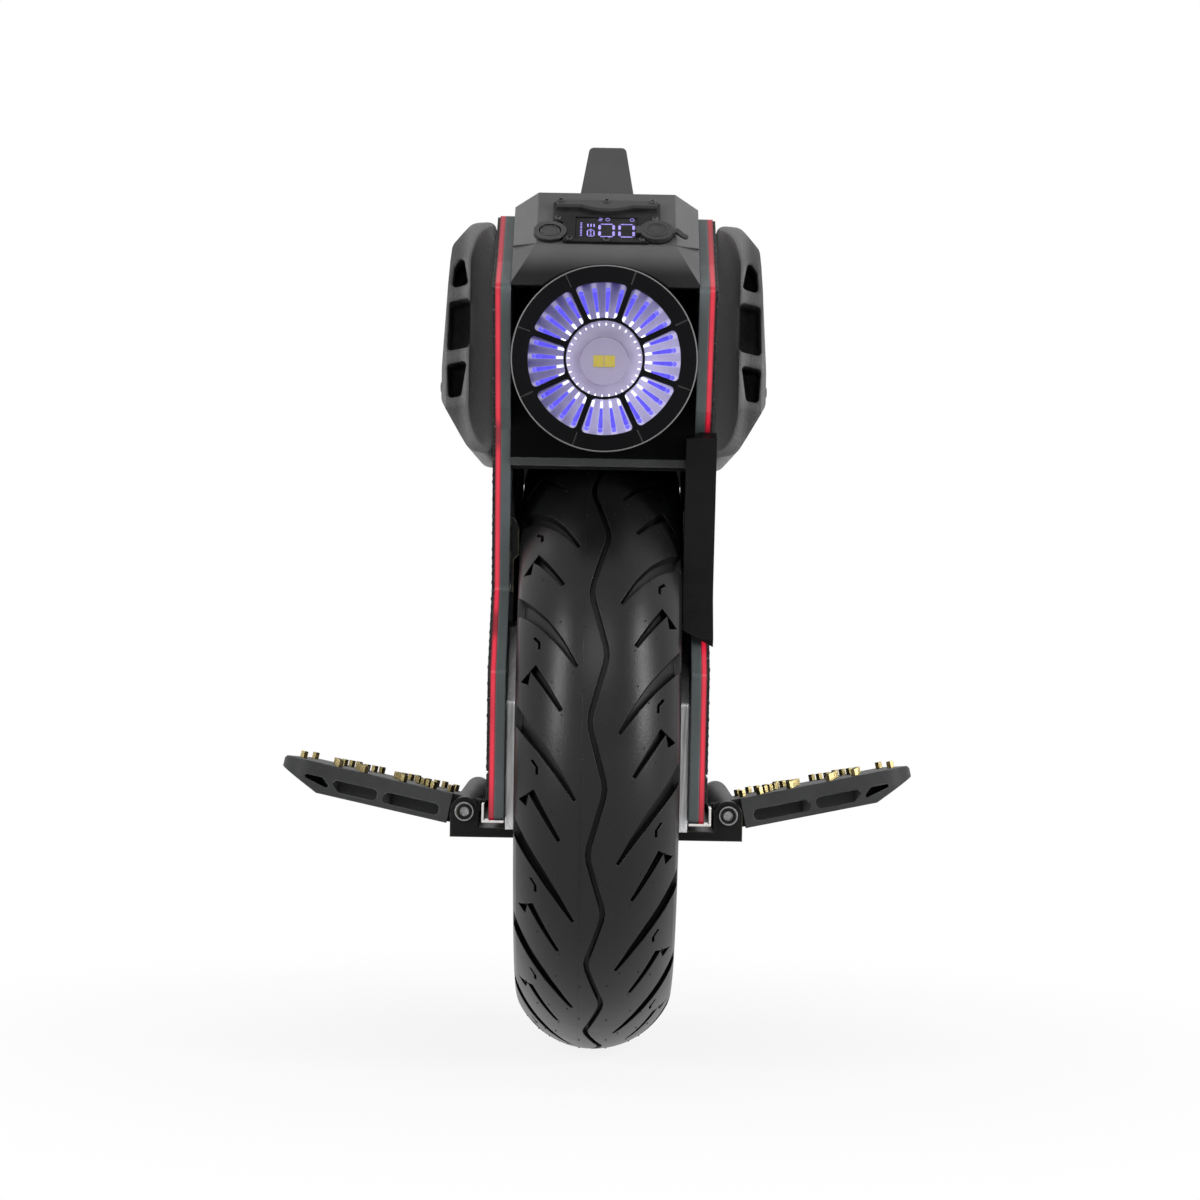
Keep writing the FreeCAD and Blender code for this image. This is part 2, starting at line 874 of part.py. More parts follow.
def make_side_pad():
    """Hook-and-loop layer in three strips: foot, open field and the field under the bumper."""
    layer = inner_outline_prism(strip_outer_x, pad_outer_x)
    reach = plate_nose_reach
    heights = [
        (pad_bottom_z, pad_low_split_z - pad_split_gap),
        (pad_low_split_z, pad_split_z - pad_split_gap),
        (pad_split_z, plate_top_z),
    ]
    strips = []
    for low, high in heights:
        strips.append(layer.common(block(strip_outer_x, pad_outer_x, -reach, reach, low, high)))
    return Part.makeCompound(strips)


def make_end_clips():
    """Small bright hooks under the front and rear corners of the side layers."""
    outer = pad_outer_x + layer_gap + clip_wall
    bottom = plate_bottom_z - clip_wall
    y0 = -plate_toe_reach + clip_inset
    foot = block(hanger_outer_x, outer, y0, y0 + clip_length, bottom, plate_bottom_z)
    arm = block(outer - clip_wall, outer, y0, y0 + clip_length, plate_bottom_z, plate_bottom_z + clip_height)
    clip = foot.fuse(arm).removeSplitter()
    rear = rear_copy(clip)
    return Part.makeCompound([clip, rear, mirrored(clip), mirrored(rear)])


# Hanger, bracket and pedal

def make_hanger():
    outline = [
        (-hanger_foot_reach, foot_top_z),
        (-hanger_foot_reach, hanger_bend_z),
        (-hanger_top_reach, hanger_top_z),
        (hanger_top_reach, hanger_top_z),
        (hanger_foot_reach, hanger_bend_z),
        (hanger_foot_reach, foot_top_z),
    ]
    plate = prism(rounded(in_yz(outline, hanger_inner_x), plate_corner_radius), axis_x, hanger_thickness)
    return plate.cut(axle_spigot(axle_hole_gap))


def make_bracket():
    foot = block(hanger_inner_x, hinge_x + ear_radius, -pedal_half_length, pedal_half_length,
                 foot_bottom_z, foot_top_z)
    ear_top = FreeCAD.Vector(hinge_x, ear_inner_y, hinge_z)
    cheek = Part.makeCylinder(ear_radius, ear_thickness, ear_top, axis_y)
    post = block(hinge_x - ear_radius, hinge_x + ear_radius, ear_inner_y, pedal_half_length,
                 foot_bottom_z, hinge_z)
    ear = cheek.fuse(post)
    bracket = foot.fuse([ear, rear_copy(ear)]).removeSplitter()
    bore_base = FreeCAD.Vector(hinge_x, -pedal_half_length - cut_margin, hinge_z)
    bore = Part.makeCylinder(hinge_pin_radius + hinge_running_gap, 2 * (pedal_half_length + cut_margin),
                             bore_base, axis_y)
    return bracket.cut(bore)


def make_hinge_pin():
    start = FreeCAD.Vector(hinge_x, -pedal_half_length, hinge_z)
    rod = Part.makeCylinder(hinge_pin_radius, 2 * pedal_half_length, start, axis_y)
    head_base = start - axis_y * pin_head_height
    head = Part.makeCylinder(pin_head_radius, pin_head_height, head_base, axis_y)
    tail_base = FreeCAD.Vector(hinge_x, pedal_half_length, hinge_z)
    tail = Part.makeCylinder(pin_head_radius, pin_head_height, tail_base, axis_y)
    socket = hexagon_prism(head_base, 2 * pin_socket_radius, pin_socket_depth, axis_y)
    return rod.fuse([head, tail]).removeSplitter().cut(socket)


def pedal_to_place(shape):
    placed = shape.copy()
    placed.rotate(origin, axis_y, -pedal_tilt_deg)
    placed.translate(FreeCAD.Vector(hinge_x, 0, hinge_z))
    return placed


def pitched(shape):
    """Turn about the front top edge of the pedal, so that the deck falls towards the rear."""
    turned = shape.copy()
    turned.rotate(FreeCAD.Vector(0, -pedal_half_length, pedal_top_rise), axis_x, -pedal_pitch_deg)
    return turned


def heel_room(bottom, deck_low):
    """Space under the heel that the bracket's foot needs."""
    heel_wall = truss_heel - truss_post_width
    low = bottom - pedal_thickness
    outline = [
        (-pedal_heel_reach - cut_margin, deck_low),
        (-pedal_heel_reach, deck_low),
        (0.0, bottom),
        (heel_wall, bottom),
        (heel_wall, low),
        (-pedal_heel_reach - cut_margin, low),
    ]
    start = -pedal_half_length - cut_margin
    return prism(polygon(in_xz(outline, start)), axis_y, -2 * start)


def make_pedal():
    """Pedal as a truss: a deck over walls with windows, turning on a barrel at the heel."""
    top = pedal_top_rise
    bottom = pedal_top_rise - pedal_thickness
    deck_low = top - pedal_band
    tip = pedal_tip_reach
    side = [
        (-pedal_heel_reach, deck_low),
        (-pedal_heel_reach, top),
        (tip - pedal_edge_bevel, top),
        (tip, top - pedal_edge_bevel),
        (tip, deck_low),
        (tip - pedal_tip_bevel, bottom),
        (0.0, bottom),
    ]
    half = pedal_half_length
    body = prism(polygon(in_xz(side, -half)), axis_y, 2 * half)
    plan = [
        (-pedal_heel_reach - pedal_tip_radius, -half),
        (tip, -half),
        (tip, half),
        (-pedal_heel_reach - pedal_tip_radius, half),
    ]
    plan_prism = prism(rounded(in_xy(plan, bottom - cut_margin), pedal_tip_radius), axis_z,
                       pedal_thickness + 2 * cut_margin)
    body = body.common(plan_prism).cut(pedal_openings(bottom, deck_low))
    body = pitched(body).cut(heel_room(bottom, deck_low))
    relief = ear_radius + pedal_ear_relief
    for side_sign in (-1, 1):
        low = min(side_sign * (ear_inner_y - ear_side_gap), side_sign * (half + cut_margin))
        high = max(side_sign * (ear_inner_y - ear_side_gap), side_sign * (half + cut_margin))
        body = body.cut(block(-pedal_heel_reach - cut_margin, relief, low, high,
                              bottom - pedal_thickness, top + cut_margin))
    barrel_half = ear_inner_y - ear_side_gap
    barrel = Part.makeCylinder(ear_radius, 2 * barrel_half, FreeCAD.Vector(0, -barrel_half, 0), axis_y)
    body = body.fuse(barrel).removeSplitter()
    bore_half = half + cut_margin
    bore = Part.makeCylinder(hinge_pin_radius + hinge_running_gap, 2 * bore_half,
                             FreeCAD.Vector(0, -bore_half, 0), axis_y)
    return pedal_to_place(body.cut(bore))


def pedal_openings(bottom, deck_low):
    """Underside pockets on both sides of a middle web, and windows in the front and rear walls."""
    rail_low = bottom + truss_rail
    rail_high = deck_low - truss_rail / 2.0
    bay_1 = (truss_heel, truss_post_1)
    bay_2 = (truss_post_1 + truss_post_width, truss_post_2)
    inner_half = pedal_half_length - pedal_wall
    tools = []
    for start, end in (bay_1, bay_2):
        web = -pedal_web / 2.0
        pocket = [(start, -inner_half), (end, -inner_half), (end, web), (start, web)]
        wire = rounded(in_xy(pocket, bottom - cut_margin), truss_corner_radius)
        front = prism(wire, axis_z, deck_low - bottom + cut_margin)
        tools.append(front)
        tools.append(rear_copy(front))
    window_1 = [
        (bay_1[0], rail_low), (bay_1[1], rail_low),
        (bay_1[1], rail_high), (bay_1[0], rail_high),
    ]
    window_2 = [
        (bay_2[0], rail_low), (bay_2[1] - truss_lean, rail_low),
        (bay_2[1], rail_high), (bay_2[0], rail_high),
    ]
    start = -pedal_half_length - cut_margin
    for window in (window_1, window_2):
        wire = rounded(in_xz(window, start), truss_corner_radius)
        front = prism(wire, axis_y, pedal_wall + 2 * cut_margin)
        tools.append(front)
        tools.append(rear_copy(front))
    tip_start = truss_post_2 + truss_post_width
    window_3 = [
        (tip_start - truss_lean, rail_low), (tip_start, rail_high),
        (tip_start + tip_window_length, rail_high),
    ]
    depth = tip_window_depth + cut_margin
    front = prism(rounded(in_xz(window_3, start), truss_corner_radius / 2.0), axis_y, depth)
    tools.append(front)
    tools.append(rear_copy(front))
    return tools


def make_studs():
    """Studs in bowed lines, which reach furthest out in the middle, and single ones beside them."""
    spots = []
    row_step = 2 * stud_row_reach / (stud_rows - 1)
    for middle_reach, end_reach in stud_lines:
        for row in range(stud_rows):
            along = -stud_row_reach + row * row_step
            share = abs(along) / stud_row_reach
            spots.append((middle_reach + share * (end_reach - middle_reach), along))
    for reach in (stud_tip_reach, stud_heel_reach):
        spots.append((reach, -stud_single_offset))
        spots.append((reach, stud_single_offset))
    studs = []
    for reach, along in spots:
        centre = FreeCAD.Vector(reach, along, pedal_top_rise)
        studs.append(hexagon_prism(centre, 2 * stud_radius, stud_height, axis_z))
    return pedal_to_place(pitched(Part.makeCompound(studs)))


# Bumper

def make_bumper():
    inner = pad_outer_x
    outer = bumper_outer_x
    front_outline = [
        (inner, bumper_top_z),
        (outer - bumper_frame_inset, bumper_top_z - bumper_top_fall),
        (outer - bumper_brow_inset, bumper_brow_z),
        (outer, lamp_z),
        (outer, bumper_pocket_bottom_z),
        (outer - bumper_lip_inset, bumper_lip_z),
        (outer - bumper_frame_inset, bumper_bottom_z + bumper_bottom_rise),
        (inner, bumper_bottom_z),
    ]
    reach = bumper_reach
    body = prism(rounded(in_xz(front_outline, -reach), bumper_corner_radius), axis_y, 2 * reach)
    body = body.common(bumper_plan()).common(bumper_side())
    pockets = []
    for pocket in bumper_pockets():
        wire = rounded(in_xz(pocket, -reach - cut_margin), bumper_pocket_radius)
        front = prism(wire, axis_y, bumper_pocket_depth + cut_margin)
        pockets.append(front)
        pockets.append(rear_copy(front))
    return body.cut(pockets)


def bumper_plan():
    """Seen from above: a scooped inner cheek, then the frame, then the flat outer side."""
    inner = pad_outer_x
    frame = bumper_outer_x - bumper_frame_inset
    outer = bumper_outer_x
    low = bumper_bottom_z - cut_margin
    heel = FreeCAD.Vector(inner, -bumper_heel_reach, low)
    edge = FreeCAD.Vector(frame, -bumper_reach, low)
    scoop_x = (inner + frame) / 2.0 + bumper_scoop_shift
    scoop = FreeCAD.Vector(scoop_x, -bumper_heel_reach - bumper_scoop_depth, low)
    brow = FreeCAD.Vector(outer - bumper_brow_width, -bumper_reach + bumper_brow_fall, low)
    side = FreeCAD.Vector(outer, -bumper_heel_reach, low)

    def rear(point):
        return FreeCAD.Vector(point.x, -point.y, point.z)

    edges = [
        arc(heel, scoop, edge),
        line(edge, brow),
        line(brow, side),
        line(side, rear(side)),
        line(rear(side), rear(brow)),
        line(rear(brow), rear(edge)),
        arc(rear(edge), rear(scoop), rear(heel)),
        line(rear(heel), heel),
    ]
    return prism(Part.Wire(edges), axis_z, bumper_top_z - bumper_bottom_z + 2 * cut_margin)


def bumper_side():
    """Seen from the side: a long pad with drawn-in upper and lower corners."""
    reach = bumper_reach + cut_margin
    drawn_in = bumper_reach - bumper_cheek_rise / 2.0
    low = bumper_bottom_z
    high = bumper_top_z
    outline = [
        (-drawn_in, low), (-reach, low + bumper_cheek_rise),
        (-reach, high - bumper_cheek_rise), (-drawn_in, high),
        (drawn_in, high), (reach, high - bumper_cheek_rise),
        (reach, low + bumper_cheek_rise), (drawn_in, low),
    ]
    wire = rounded(in_yz(outline, pad_outer_x), bumper_side_radius)
    return prism(wire, axis_x, bumper_thickness)


def bumper_pockets():
    """The three windows of the frame: they lean with the frame and follow its outer edge."""
    frame = bumper_outer_x - bumper_frame_inset
    wall_x = bumper_outer_x - bumper_frame_wall
    rib = bumper_rib
    fall = bumper_rib_fall
    lean = bumper_window_lean
    slight = lean / 3.0
    top = [
        (frame + slight + lean, bumper_pocket_top_z),
        (frame + slight, bumper_rib_upper_z + rib),
        (wall_x - 2.0 * slight, bumper_rib_upper_z + rib - fall),
        (wall_x - lean, bumper_pocket_top_z - bumper_window_taper),
    ]
    middle = [
        (frame, bumper_rib_upper_z - rib),
        (frame, bumper_rib_lower_z + rib),
        (wall_x, bumper_rib_lower_z + rib - fall),
        (wall_x - slight, bumper_rib_upper_z - rib - fall),
    ]
    bottom = [
        (frame + slight, bumper_rib_lower_z - rib),
        (frame + slight + lean, bumper_pocket_bottom_z + slight),
        (wall_x - slight, bumper_pocket_bottom_z),
        (wall_x, bumper_rib_lower_z - rib - fall),
    ]
    return [top, middle, bottom]


# Top cap and display

def cut_beyond(shape, point_a, point_b, point_c, inside):
    """Remove what lies beyond the plane of three points, seen from a point that stays."""
    normal = (point_b - point_a).cross(point_c - point_a)
    normal.normalize()
    if normal.dot(inside - point_a) > 0:
        normal = normal * -1
    span = 4.0 * tyre_radius
    slab = Part.makeBox(span, span, span, FreeCAD.Vector(-span / 2.0, -span / 2.0, 0))
    slab.Placement = FreeCAD.Placement(point_a, FreeCAD.Rotation(axis_z, normal))
    return shape.cut(slab)


def facet_points():
    """Corners on the right that set the slanted facets beside the panel, the top and the brow."""
    drop_y = cap_facet_drop * panel_sine
    drop_z = cap_facet_drop * panel_cosine
    facet_share = (panel_low_z - brow_facet_low_z) / (panel_low_z - brow_bottom_z)
    facet_reach = panel_low_reach + facet_share * (brow_reach - panel_low_reach)
    return {
        "panel_high": FreeCAD.Vector(cap_flat_half_width, -panel_high_reach, cap_top_z),
        "panel_low": FreeCAD.Vector(cap_flat_half_width, -panel_low_reach, panel_low_z),
        "side_low": FreeCAD.Vector(body_half_width, -panel_low_reach + drop_y, panel_low_z - drop_z),
        "side_top": FreeCAD.Vector(body_half_width, -panel_high_reach, cap_top_z - cap_facet_drop),
        "brow_low": FreeCAD.Vector(body_half_width, -facet_reach, brow_facet_low_z),
    }


def cut_facet(shape, names, inside, across, along):
    """Cut a facet through three named corners, mirrored across and along by signs."""
    points = facet_points()
    marks = []
    for name in names:
        point = points[name]
        marks.append(FreeCAD.Vector(across * point.x, along * point.y, point.z))
    return cut_beyond(shape, marks[0], marks[1], marks[2], inside)


def make_cap_outer():
    outline = [
        (-panel_low_reach, panel_low_z),
        (-panel_high_reach, cap_top_z),
        (panel_high_reach, cap_top_z),
        (panel_low_reach, panel_low_z),
    ]
    body = prism(polygon(in_yz(outline, -body_half_width)), axis_x, 2 * body_half_width)
    inside = FreeCAD.Vector(0, 0, panel_low_z)
    corners = facet_points()
    for across in (1, -1):
        front_high = FreeCAD.Vector(across * cap_flat_half_width, -panel_high_reach, cap_top_z)
        rear_high = FreeCAD.Vector(across * cap_flat_half_width, panel_high_reach, cap_top_z)
        side_top = FreeCAD.Vector(across * corners["side_top"].x, corners["side_top"].y, corners["side_top"].z)
        body = cut_beyond(body, front_high, rear_high, side_top, inside)
        for along in (1, -1):
            body = cut_facet(body, ("panel_high", "panel_low", "side_low"), inside, across, along)
    return body


def make_top_cap():
    outer = make_cap_outer()
    bottom = [face for face in outer.Faces if abs(face.CenterOfMass.z - panel_low_z) < match_tolerance]
    shell = outer.makeThickness(bottom, -cap_wall, match_tolerance / 10.0)
    button_hole = panel_cylinder(button_x, button_up, sleeve_radius(button_bore()) + layer_gap,
                                 -cap_wall - cut_margin, cut_margin)
    port_hole = panel_cylinder(port_x, port_up, sleeve_radius(port_socket_radius) + layer_gap,
                               -cap_wall - cut_margin, cut_margin)
    screen_hole = block(-screen_half_width, screen_half_width, screen_low, screen_high,
                        -cap_wall - cut_margin, cut_margin)
    return shell.cut([on_panel(hole) for hole in (button_hole, port_hole, screen_hole)])


def make_brow():
    outline = [
        (-panel_low_reach, panel_low_z),
        (-brow_reach, brow_bottom_z),
        (-brow_reach + brow_thickness, brow_bottom_z),
        (-panel_low_reach + brow_thickness, panel_low_z),
    ]
    body = prism(polygon(in_yz(outline, -body_half_width)), axis_x, 2 * body_half_width)
    inside = FreeCAD.Vector(0, -panel_low_reach + brow_thickness, panel_low_z)
    for across in (1, -1):
        body = cut_facet(body, ("panel_low", "brow_low", "side_low"), inside, across, 1)
        body = cut_facet(body, ("panel_high", "panel_low", "side_low"), inside, across, 1)
    arch = lamp_cylinder(lamp_radius + lamp_shadow_gap, brow_reach + cut_margin, bulkhead_reach)
    button_room = panel_cylinder(button_x, button_up, sleeve_radius(button_bore()) + layer_gap,
                                 -panel_length, 0.0)
    port_room = panel_cylinder(port_x, port_up, sleeve_radius(port_socket_radius) + layer_gap,
                               -panel_length, 0.0)
    return body.cut([arch, on_panel(button_room), on_panel(port_room)])


def sleeve_radius(bore):
    return bore + sleeve_wall


def button_bore():
    return button_radius + button_gap


def make_display_bezel():
    outline = [
        (-bezel_foot_half_width, bezel_start),
        (bezel_foot_half_width, bezel_start),
        (bezel_foot_half_width, bezel_shoulder),
        (bezel_half_width, bezel_shoulder),
        (bezel_half_width, bezel_length),
        (-bezel_half_width, bezel_length),
        (-bezel_half_width, bezel_shoulder),
        (-bezel_foot_half_width, bezel_shoulder),
    ]
    plate = prism(rounded(in_xy(outline, 0.0), bezel_corner_radius), axis_z, bezel_thickness)
    hood_half = bezel_half_width - hood_margin
    hood_top = bezel_length - hood_margin
    hood_edge = hood_low + hood_swell
    start = FreeCAD.Vector(-hood_half, hood_edge, bezel_thickness)
    dip_left = FreeCAD.Vector(-hood_half / 2.0, hood_edge, bezel_thickness)
    dip = FreeCAD.Vector(0, hood_low, bezel_thickness)
    dip_right = FreeCAD.Vector(hood_half / 2.0, hood_edge, bezel_thickness)
    end = FreeCAD.Vector(hood_half, hood_edge, bezel_thickness)
    top_right = FreeCAD.Vector(hood_half, hood_top, bezel_thickness)
    top_left = FreeCAD.Vector(-hood_half, hood_top, bezel_thickness)
    edges = [
        line(start, dip_left),
        arc(dip_left, dip, dip_right),
        line(dip_right, end),
        line(end, top_right),
        line(top_right, top_left),
        line(top_left, start),
    ]
    hood = prism(Part.Wire(edges), axis_z, hood_height)
    plate = plate.fuse(hood).removeSplitter()
    window = block(-screen_half_width, screen_half_width, screen_low, screen_high, -cut_margin, cut_margin)
    button_room = panel_cylinder(button_x, button_up, button_ring_radius + layer_gap, -cut_margin, cut_margin)
    port_room = panel_cylinder(port_x, port_up, port_cap_radius + layer_gap, -cut_margin, cut_margin)
    tab_room = block(port_x - grip_tab_reach - layer_gap, port_x,
                     port_up - grip_tab_width / 2.0 - layer_gap, port_up + grip_tab_width / 2.0 + layer_gap,
                     port_flange_height, cut_margin)
    return on_panel(plate.cut([window, button_room, port_room, tab_room]))


def make_display_screen():
    half = screen_half_width - screen_gap
    top = bezel_thickness - screen_setback
    pane = block(-half, half, screen_low + screen_gap, screen_high - screen_gap, top - screen_thickness, top)
    return on_panel(pane)


def make_sleeve(x, up, bore, depth, floor):
    outer = panel_cylinder(x, up, sleeve_radius(bore), -depth - floor, 0.0)
    inner = panel_cylinder(x, up, bore, -depth, cut_margin)
    return outer, inner


def make_button_ring():
    outer, inner = make_sleeve(button_x, button_up, button_bore(), button_depth + button_travel, sleeve_floor)
    collar = panel_cylinder(button_x, button_up, button_ring_radius, 0.0, button_ring_height)
    return on_panel(outer.fuse(collar).removeSplitter().cut(inner))


def make_power_button():
    plunger = panel_cylinder(button_x, button_up, button_radius, -button_depth, button_proud)
    rim = [edge for edge in plunger.Edges if abs(edge.CenterOfMass.z - button_proud) < match_tolerance]
    return on_panel(plunger.makeFillet(button_edge_radius, rim))


def make_charge_port():
    outer, inner = make_sleeve(port_x, port_up, port_socket_radius, port_socket_depth, sleeve_floor)
    flange = panel_cylinder(port_x, port_up, port_flange_radius, 0.0, port_flange_height)
    port = outer.fuse(flange).removeSplitter().cut(inner)
    pins = []
    for index in range(port_pin_count):
        angle = math.radians(360.0 * index / port_pin_count)
        pins.append(panel_cylinder(port_x + port_pin_circle * math.sin(angle),
                                   port_up + port_pin_circle * math.cos(angle), port_pin_radius,
                                   -port_socket_depth - port_pin_root, -port_socket_depth + port_pin_length))
    return on_panel(port.fuse(pins).removeSplitter())


def make_port_cap():
    """Rubber cap with a bung, a grip tab on its inner side and a swaying strap on its outer side."""
    low = port_flange_height + port_cap_gap
    high = low + port_cap_thickness
    disc = panel_cylinder(port_x, port_up, port_cap_radius, low, high)
    bung = panel_cylinder(port_x, port_up, port_socket_radius - port_bung_gap, -port_bung_depth, low)
    tab = block(port_x - grip_tab_reach, port_x, port_up - grip_tab_width / 2.0, port_up + grip_tab_width / 2.0,
                low + grip_tab_lift, high)
    start = port_x + port_cap_radius - strap_root
    end = port_x + strap_reach + strap_thickness / 2.0
    strap_line = [
        (start, port_up),
        (start + strap_bend, port_up + strap_sway),
        (end - strap_bend, port_up - strap_sway),
        (end, port_up - 2.0 * strap_sway),
    ]
    outline = ribbon(strap_line, [strap_width, strap_width, strap_end_width, strap_end_width])
    strap = prism(rounded(in_xy(outline, low), strap_width / 4.0), axis_z, strap_thickness)
    return on_panel(disc.fuse([bung, tab, strap]).removeSplitter())


# Headlight

def lamp_cylinder(radius, front_reach, back_reach):
    base = FreeCAD.Vector(0, -front_reach, lamp_z)
    return Part.makeCylinder(radius, front_reach - back_reach, base, axis_y)


def make_lamp_bezel():
    """Front ring with eight windows between spokes, and a skirt that slips over the cup."""
    back = lamp_face_reach - lamp_bezel_thickness
    lens_hole = lamp_lens_radius + lamp_part_gap
    ahead = lamp_face_reach + cut_margin
    behind = back - cut_margin
    disc = lamp_cylinder(lamp_radius, lamp_face_reach, back).cut(lamp_cylinder(lens_hole, ahead, behind))
    window_ring = lamp_cylinder(lamp_window_outer, ahead, behind).cut(
        lamp_cylinder(lamp_window_inner, ahead, behind))
    spokes = []
    grooves = []
    centre = FreeCAD.Vector(0, 0, lamp_z)
    for index in range(lamp_spokes):
        angle = lamp_spoke_start_deg + index * 360.0 / lamp_spokes
        spoke = block(lamp_window_inner - lamp_spoke_root, lamp_window_outer + lamp_spoke_root,
                      -ahead - cut_margin, -behind + cut_margin,
                      lamp_z - lamp_spoke_width / 2.0, lamp_z + lamp_spoke_width / 2.0)
        spoke.rotate(centre, axis_y, -angle)
        spokes.append(spoke)
        groove = block(lamp_window_outer + lamp_spoke_root, lamp_radius + cut_margin, -ahead,
                       -lamp_face_reach + lamp_rim_groove_depth,
                       lamp_z - lamp_rim_groove_width / 2.0, lamp_z + lamp_rim_groove_width / 2.0)
        groove.rotate(centre, axis_y, -angle)
        grooves.append(groove)
    windows = window_ring.cut(spokes).Solids
    soft_windows = []
    for window in windows:
        corners = [edge for edge in window.Edges if edge_runs_along_y(edge)]
        soft_windows.append(window.makeFillet(lamp_window_corner, corners))
    ring = disc.cut(soft_windows).cut(grooves)
    skirt_end = back - lamp_skirt_length
    skirt = lamp_cylinder(lamp_radius, back, skirt_end).cut(
        lamp_cylinder(lamp_radius - lamp_skirt_wall, ahead, skirt_end - cut_margin))
    return ring.fuse(skirt).removeSplitter()


def edge_runs_along_y(edge):
    start = edge.Vertexes[0].Point
    end = edge.Vertexes[-1].Point
    return abs(start.x - end.x) < match_tolerance and abs(start.z - end.z) < match_tolerance


def lamp_cup_radius():
    return lamp_radius - lamp_skirt_wall - lamp_part_gap


def lamp_cup_bore():
    return lamp_cup_radius() - lamp_cup_wall


def make_lamp_housing():
    front = lamp_face_reach - lamp_bezel_thickness - lamp_part_gap
    floor = bulkhead_reach + lamp_cup_wall
    outer = lamp_cylinder(lamp_cup_radius(), front, bulkhead_reach)
    return outer.cut(lamp_cylinder(lamp_cup_bore(), front + cut_margin, floor))


def make_lamp_window():
    front = lamp_face_reach - lamp_bezel_thickness - lamp_part_gap
    back = front - lamp_glass_thickness
    ring = lamp_cylinder(lamp_cup_bore() - lamp_part_gap, front, back)
    return ring.cut(lamp_cylinder(lamp_window_inner, front + cut_margin, back - cut_margin))


def make_lamp_lens():
    edge_front = lamp_face_reach - lamp_lens_dome
    back = edge_front - lamp_lens_thickness
    sphere_radius = (lamp_lens_radius ** 2 + lamp_lens_dome ** 2) / (2.0 * lamp_lens_dome)
    quarter_x = lamp_lens_radius / 2.0
    quarter_fall = sphere_radius - math.sqrt(sphere_radius ** 2 - quarter_x ** 2)
    crown = FreeCAD.Vector(0, -lamp_face_reach, lamp_z)
    quarter = FreeCAD.Vector(quarter_x, -lamp_face_reach + quarter_fall, lamp_z)
    rim_front = FreeCAD.Vector(lamp_lens_radius, -edge_front, lamp_z)
    rim_back = FreeCAD.Vector(lamp_lens_radius, -back, lamp_z)
    centre_back = FreeCAD.Vector(0, -back, lamp_z)
    edges = [
        arc(crown, quarter, rim_front),
        line(rim_front, rim_back),
        line(rim_back, centre_back),
        line(centre_back, crown),
    ]
    return Part.Face(Part.Wire(edges)).revolve(centre_back, axis_y, 360)


def make_led_board():
    front = lamp_face_reach - led_board_setback
    back = front - led_board_thickness
    board = lamp_cylinder(lamp_cup_bore() - lamp_part_gap, front, back)
    return board.cut(lamp_cylinder(lamp_lens_radius, front + cut_margin, back - cut_margin))


def make_emitter():
    """Two emitter dies on a round stage that stands on the floor of the lamp cup."""
    stage_front = lamp_face_reach - emitter_setback
    stage = lamp_cylinder(emitter_stage_radius, stage_front, bulkhead_reach + lamp_cup_wall)
    die_width = emitter_width / 2.0 - lamp_part_gap
    dies = []
    for sign in (-1, 1):
        low = min(sign * lamp_part_gap, sign * (lamp_part_gap + die_width))
        dies.append(block(low, low + die_width, -stage_front - emitter_thickness, -stage_front,
                          lamp_z - emitter_height / 2.0, lamp_z + emitter_height / 2.0))
    return stage.fuse(dies).removeSplitter()


# Frame pieces between the side plates

def make_bulkhead():
    return block(-body_half_width, body_half_width, -bulkhead_reach, -bulkhead_rear_reach,
                 crossbar_top_z, panel_low_z)


def make_crossbars():
    front = block(-body_half_width, body_half_width, -bulkhead_reach, -bulkhead_reach + crossbar_depth,
                  crossbar_top_z - crossbar_height, crossbar_top_z)
    return Part.makeCompound([front, rear_copy(front)])


def make_fender():
    ring = turned_on_axle([(-body_half_width, fender_inner_radius), (body_half_width, fender_inner_radius),
                           (body_half_width, fender_outer_radius), (-body_half_width, fender_outer_radius)])
    reach = bulkhead_reach - crossbar_depth - layer_gap
    window = block(-body_half_width, body_half_width, -reach, reach, axle_z, axle_z + 2 * tyre_radius)
    stay = block(body_half_width - fender_stay_thickness, body_half_width,
                 -fender_stay_half_depth, fender_stay_half_depth,
                 hanger_top_z + layer_gap, axle_z + fender_inner_radius)
    return ring.common(window).fuse([stay, mirrored(stay)]).removeSplitter()


def rear_outline():
    return [
        (panel_low_reach, panel_low_z),
        (brow_reach, brow_bottom_z),
        (plate_throat_reach - rear_knee_inset, plate_throat_z),
        (plate_neck_reach - rear_knee_inset, plate_neck_z),
        (plate_neck_reach - rear_knee_inset, crossbar_top_z),
    ]


def make_rear_cover():
    outer = rear_outline()
    inner = [(reach - rear_sheet, z) for reach, z in outer]
    sheet = prism(polygon(in_yz(outer + inner[::-1], -body_half_width)), axis_x, 2 * body_half_width)
    inside = FreeCAD.Vector(0, panel_low_reach - rear_sheet, panel_low_z)
    for across in (1, -1):
        sheet = cut_facet(sheet, ("panel_low", "brow_low", "side_low"), inside, across, -1)
    return sheet.cut(tail_light_block(0.0, cut_margin))


def tail_light_block(inset, proud):
    """Slanted bar between the brow line and the throat of the rear cover."""
    high_reach, high_z = rear_outline()[1]
    low_reach, low_z = rear_outline()[2]

    def along(share):
        return high_reach + share * (low_reach - high_reach), high_z + share * (low_z - high_z)

    top_reach, top_z = along(tail_top_share)
    bottom_reach, bottom_z = along(tail_bottom_share)
    back = rear_sheet if inset else rear_sheet + cut_margin
    outline = [
        (top_reach + proud, top_z - inset),
        (bottom_reach + proud, bottom_z + inset),
        (bottom_reach - back, bottom_z + inset),
        (top_reach - back, top_z - inset),
    ]
    half = tail_half_width - inset
    return prism(polygon(in_yz(outline, -half)), axis_x, 2 * half)


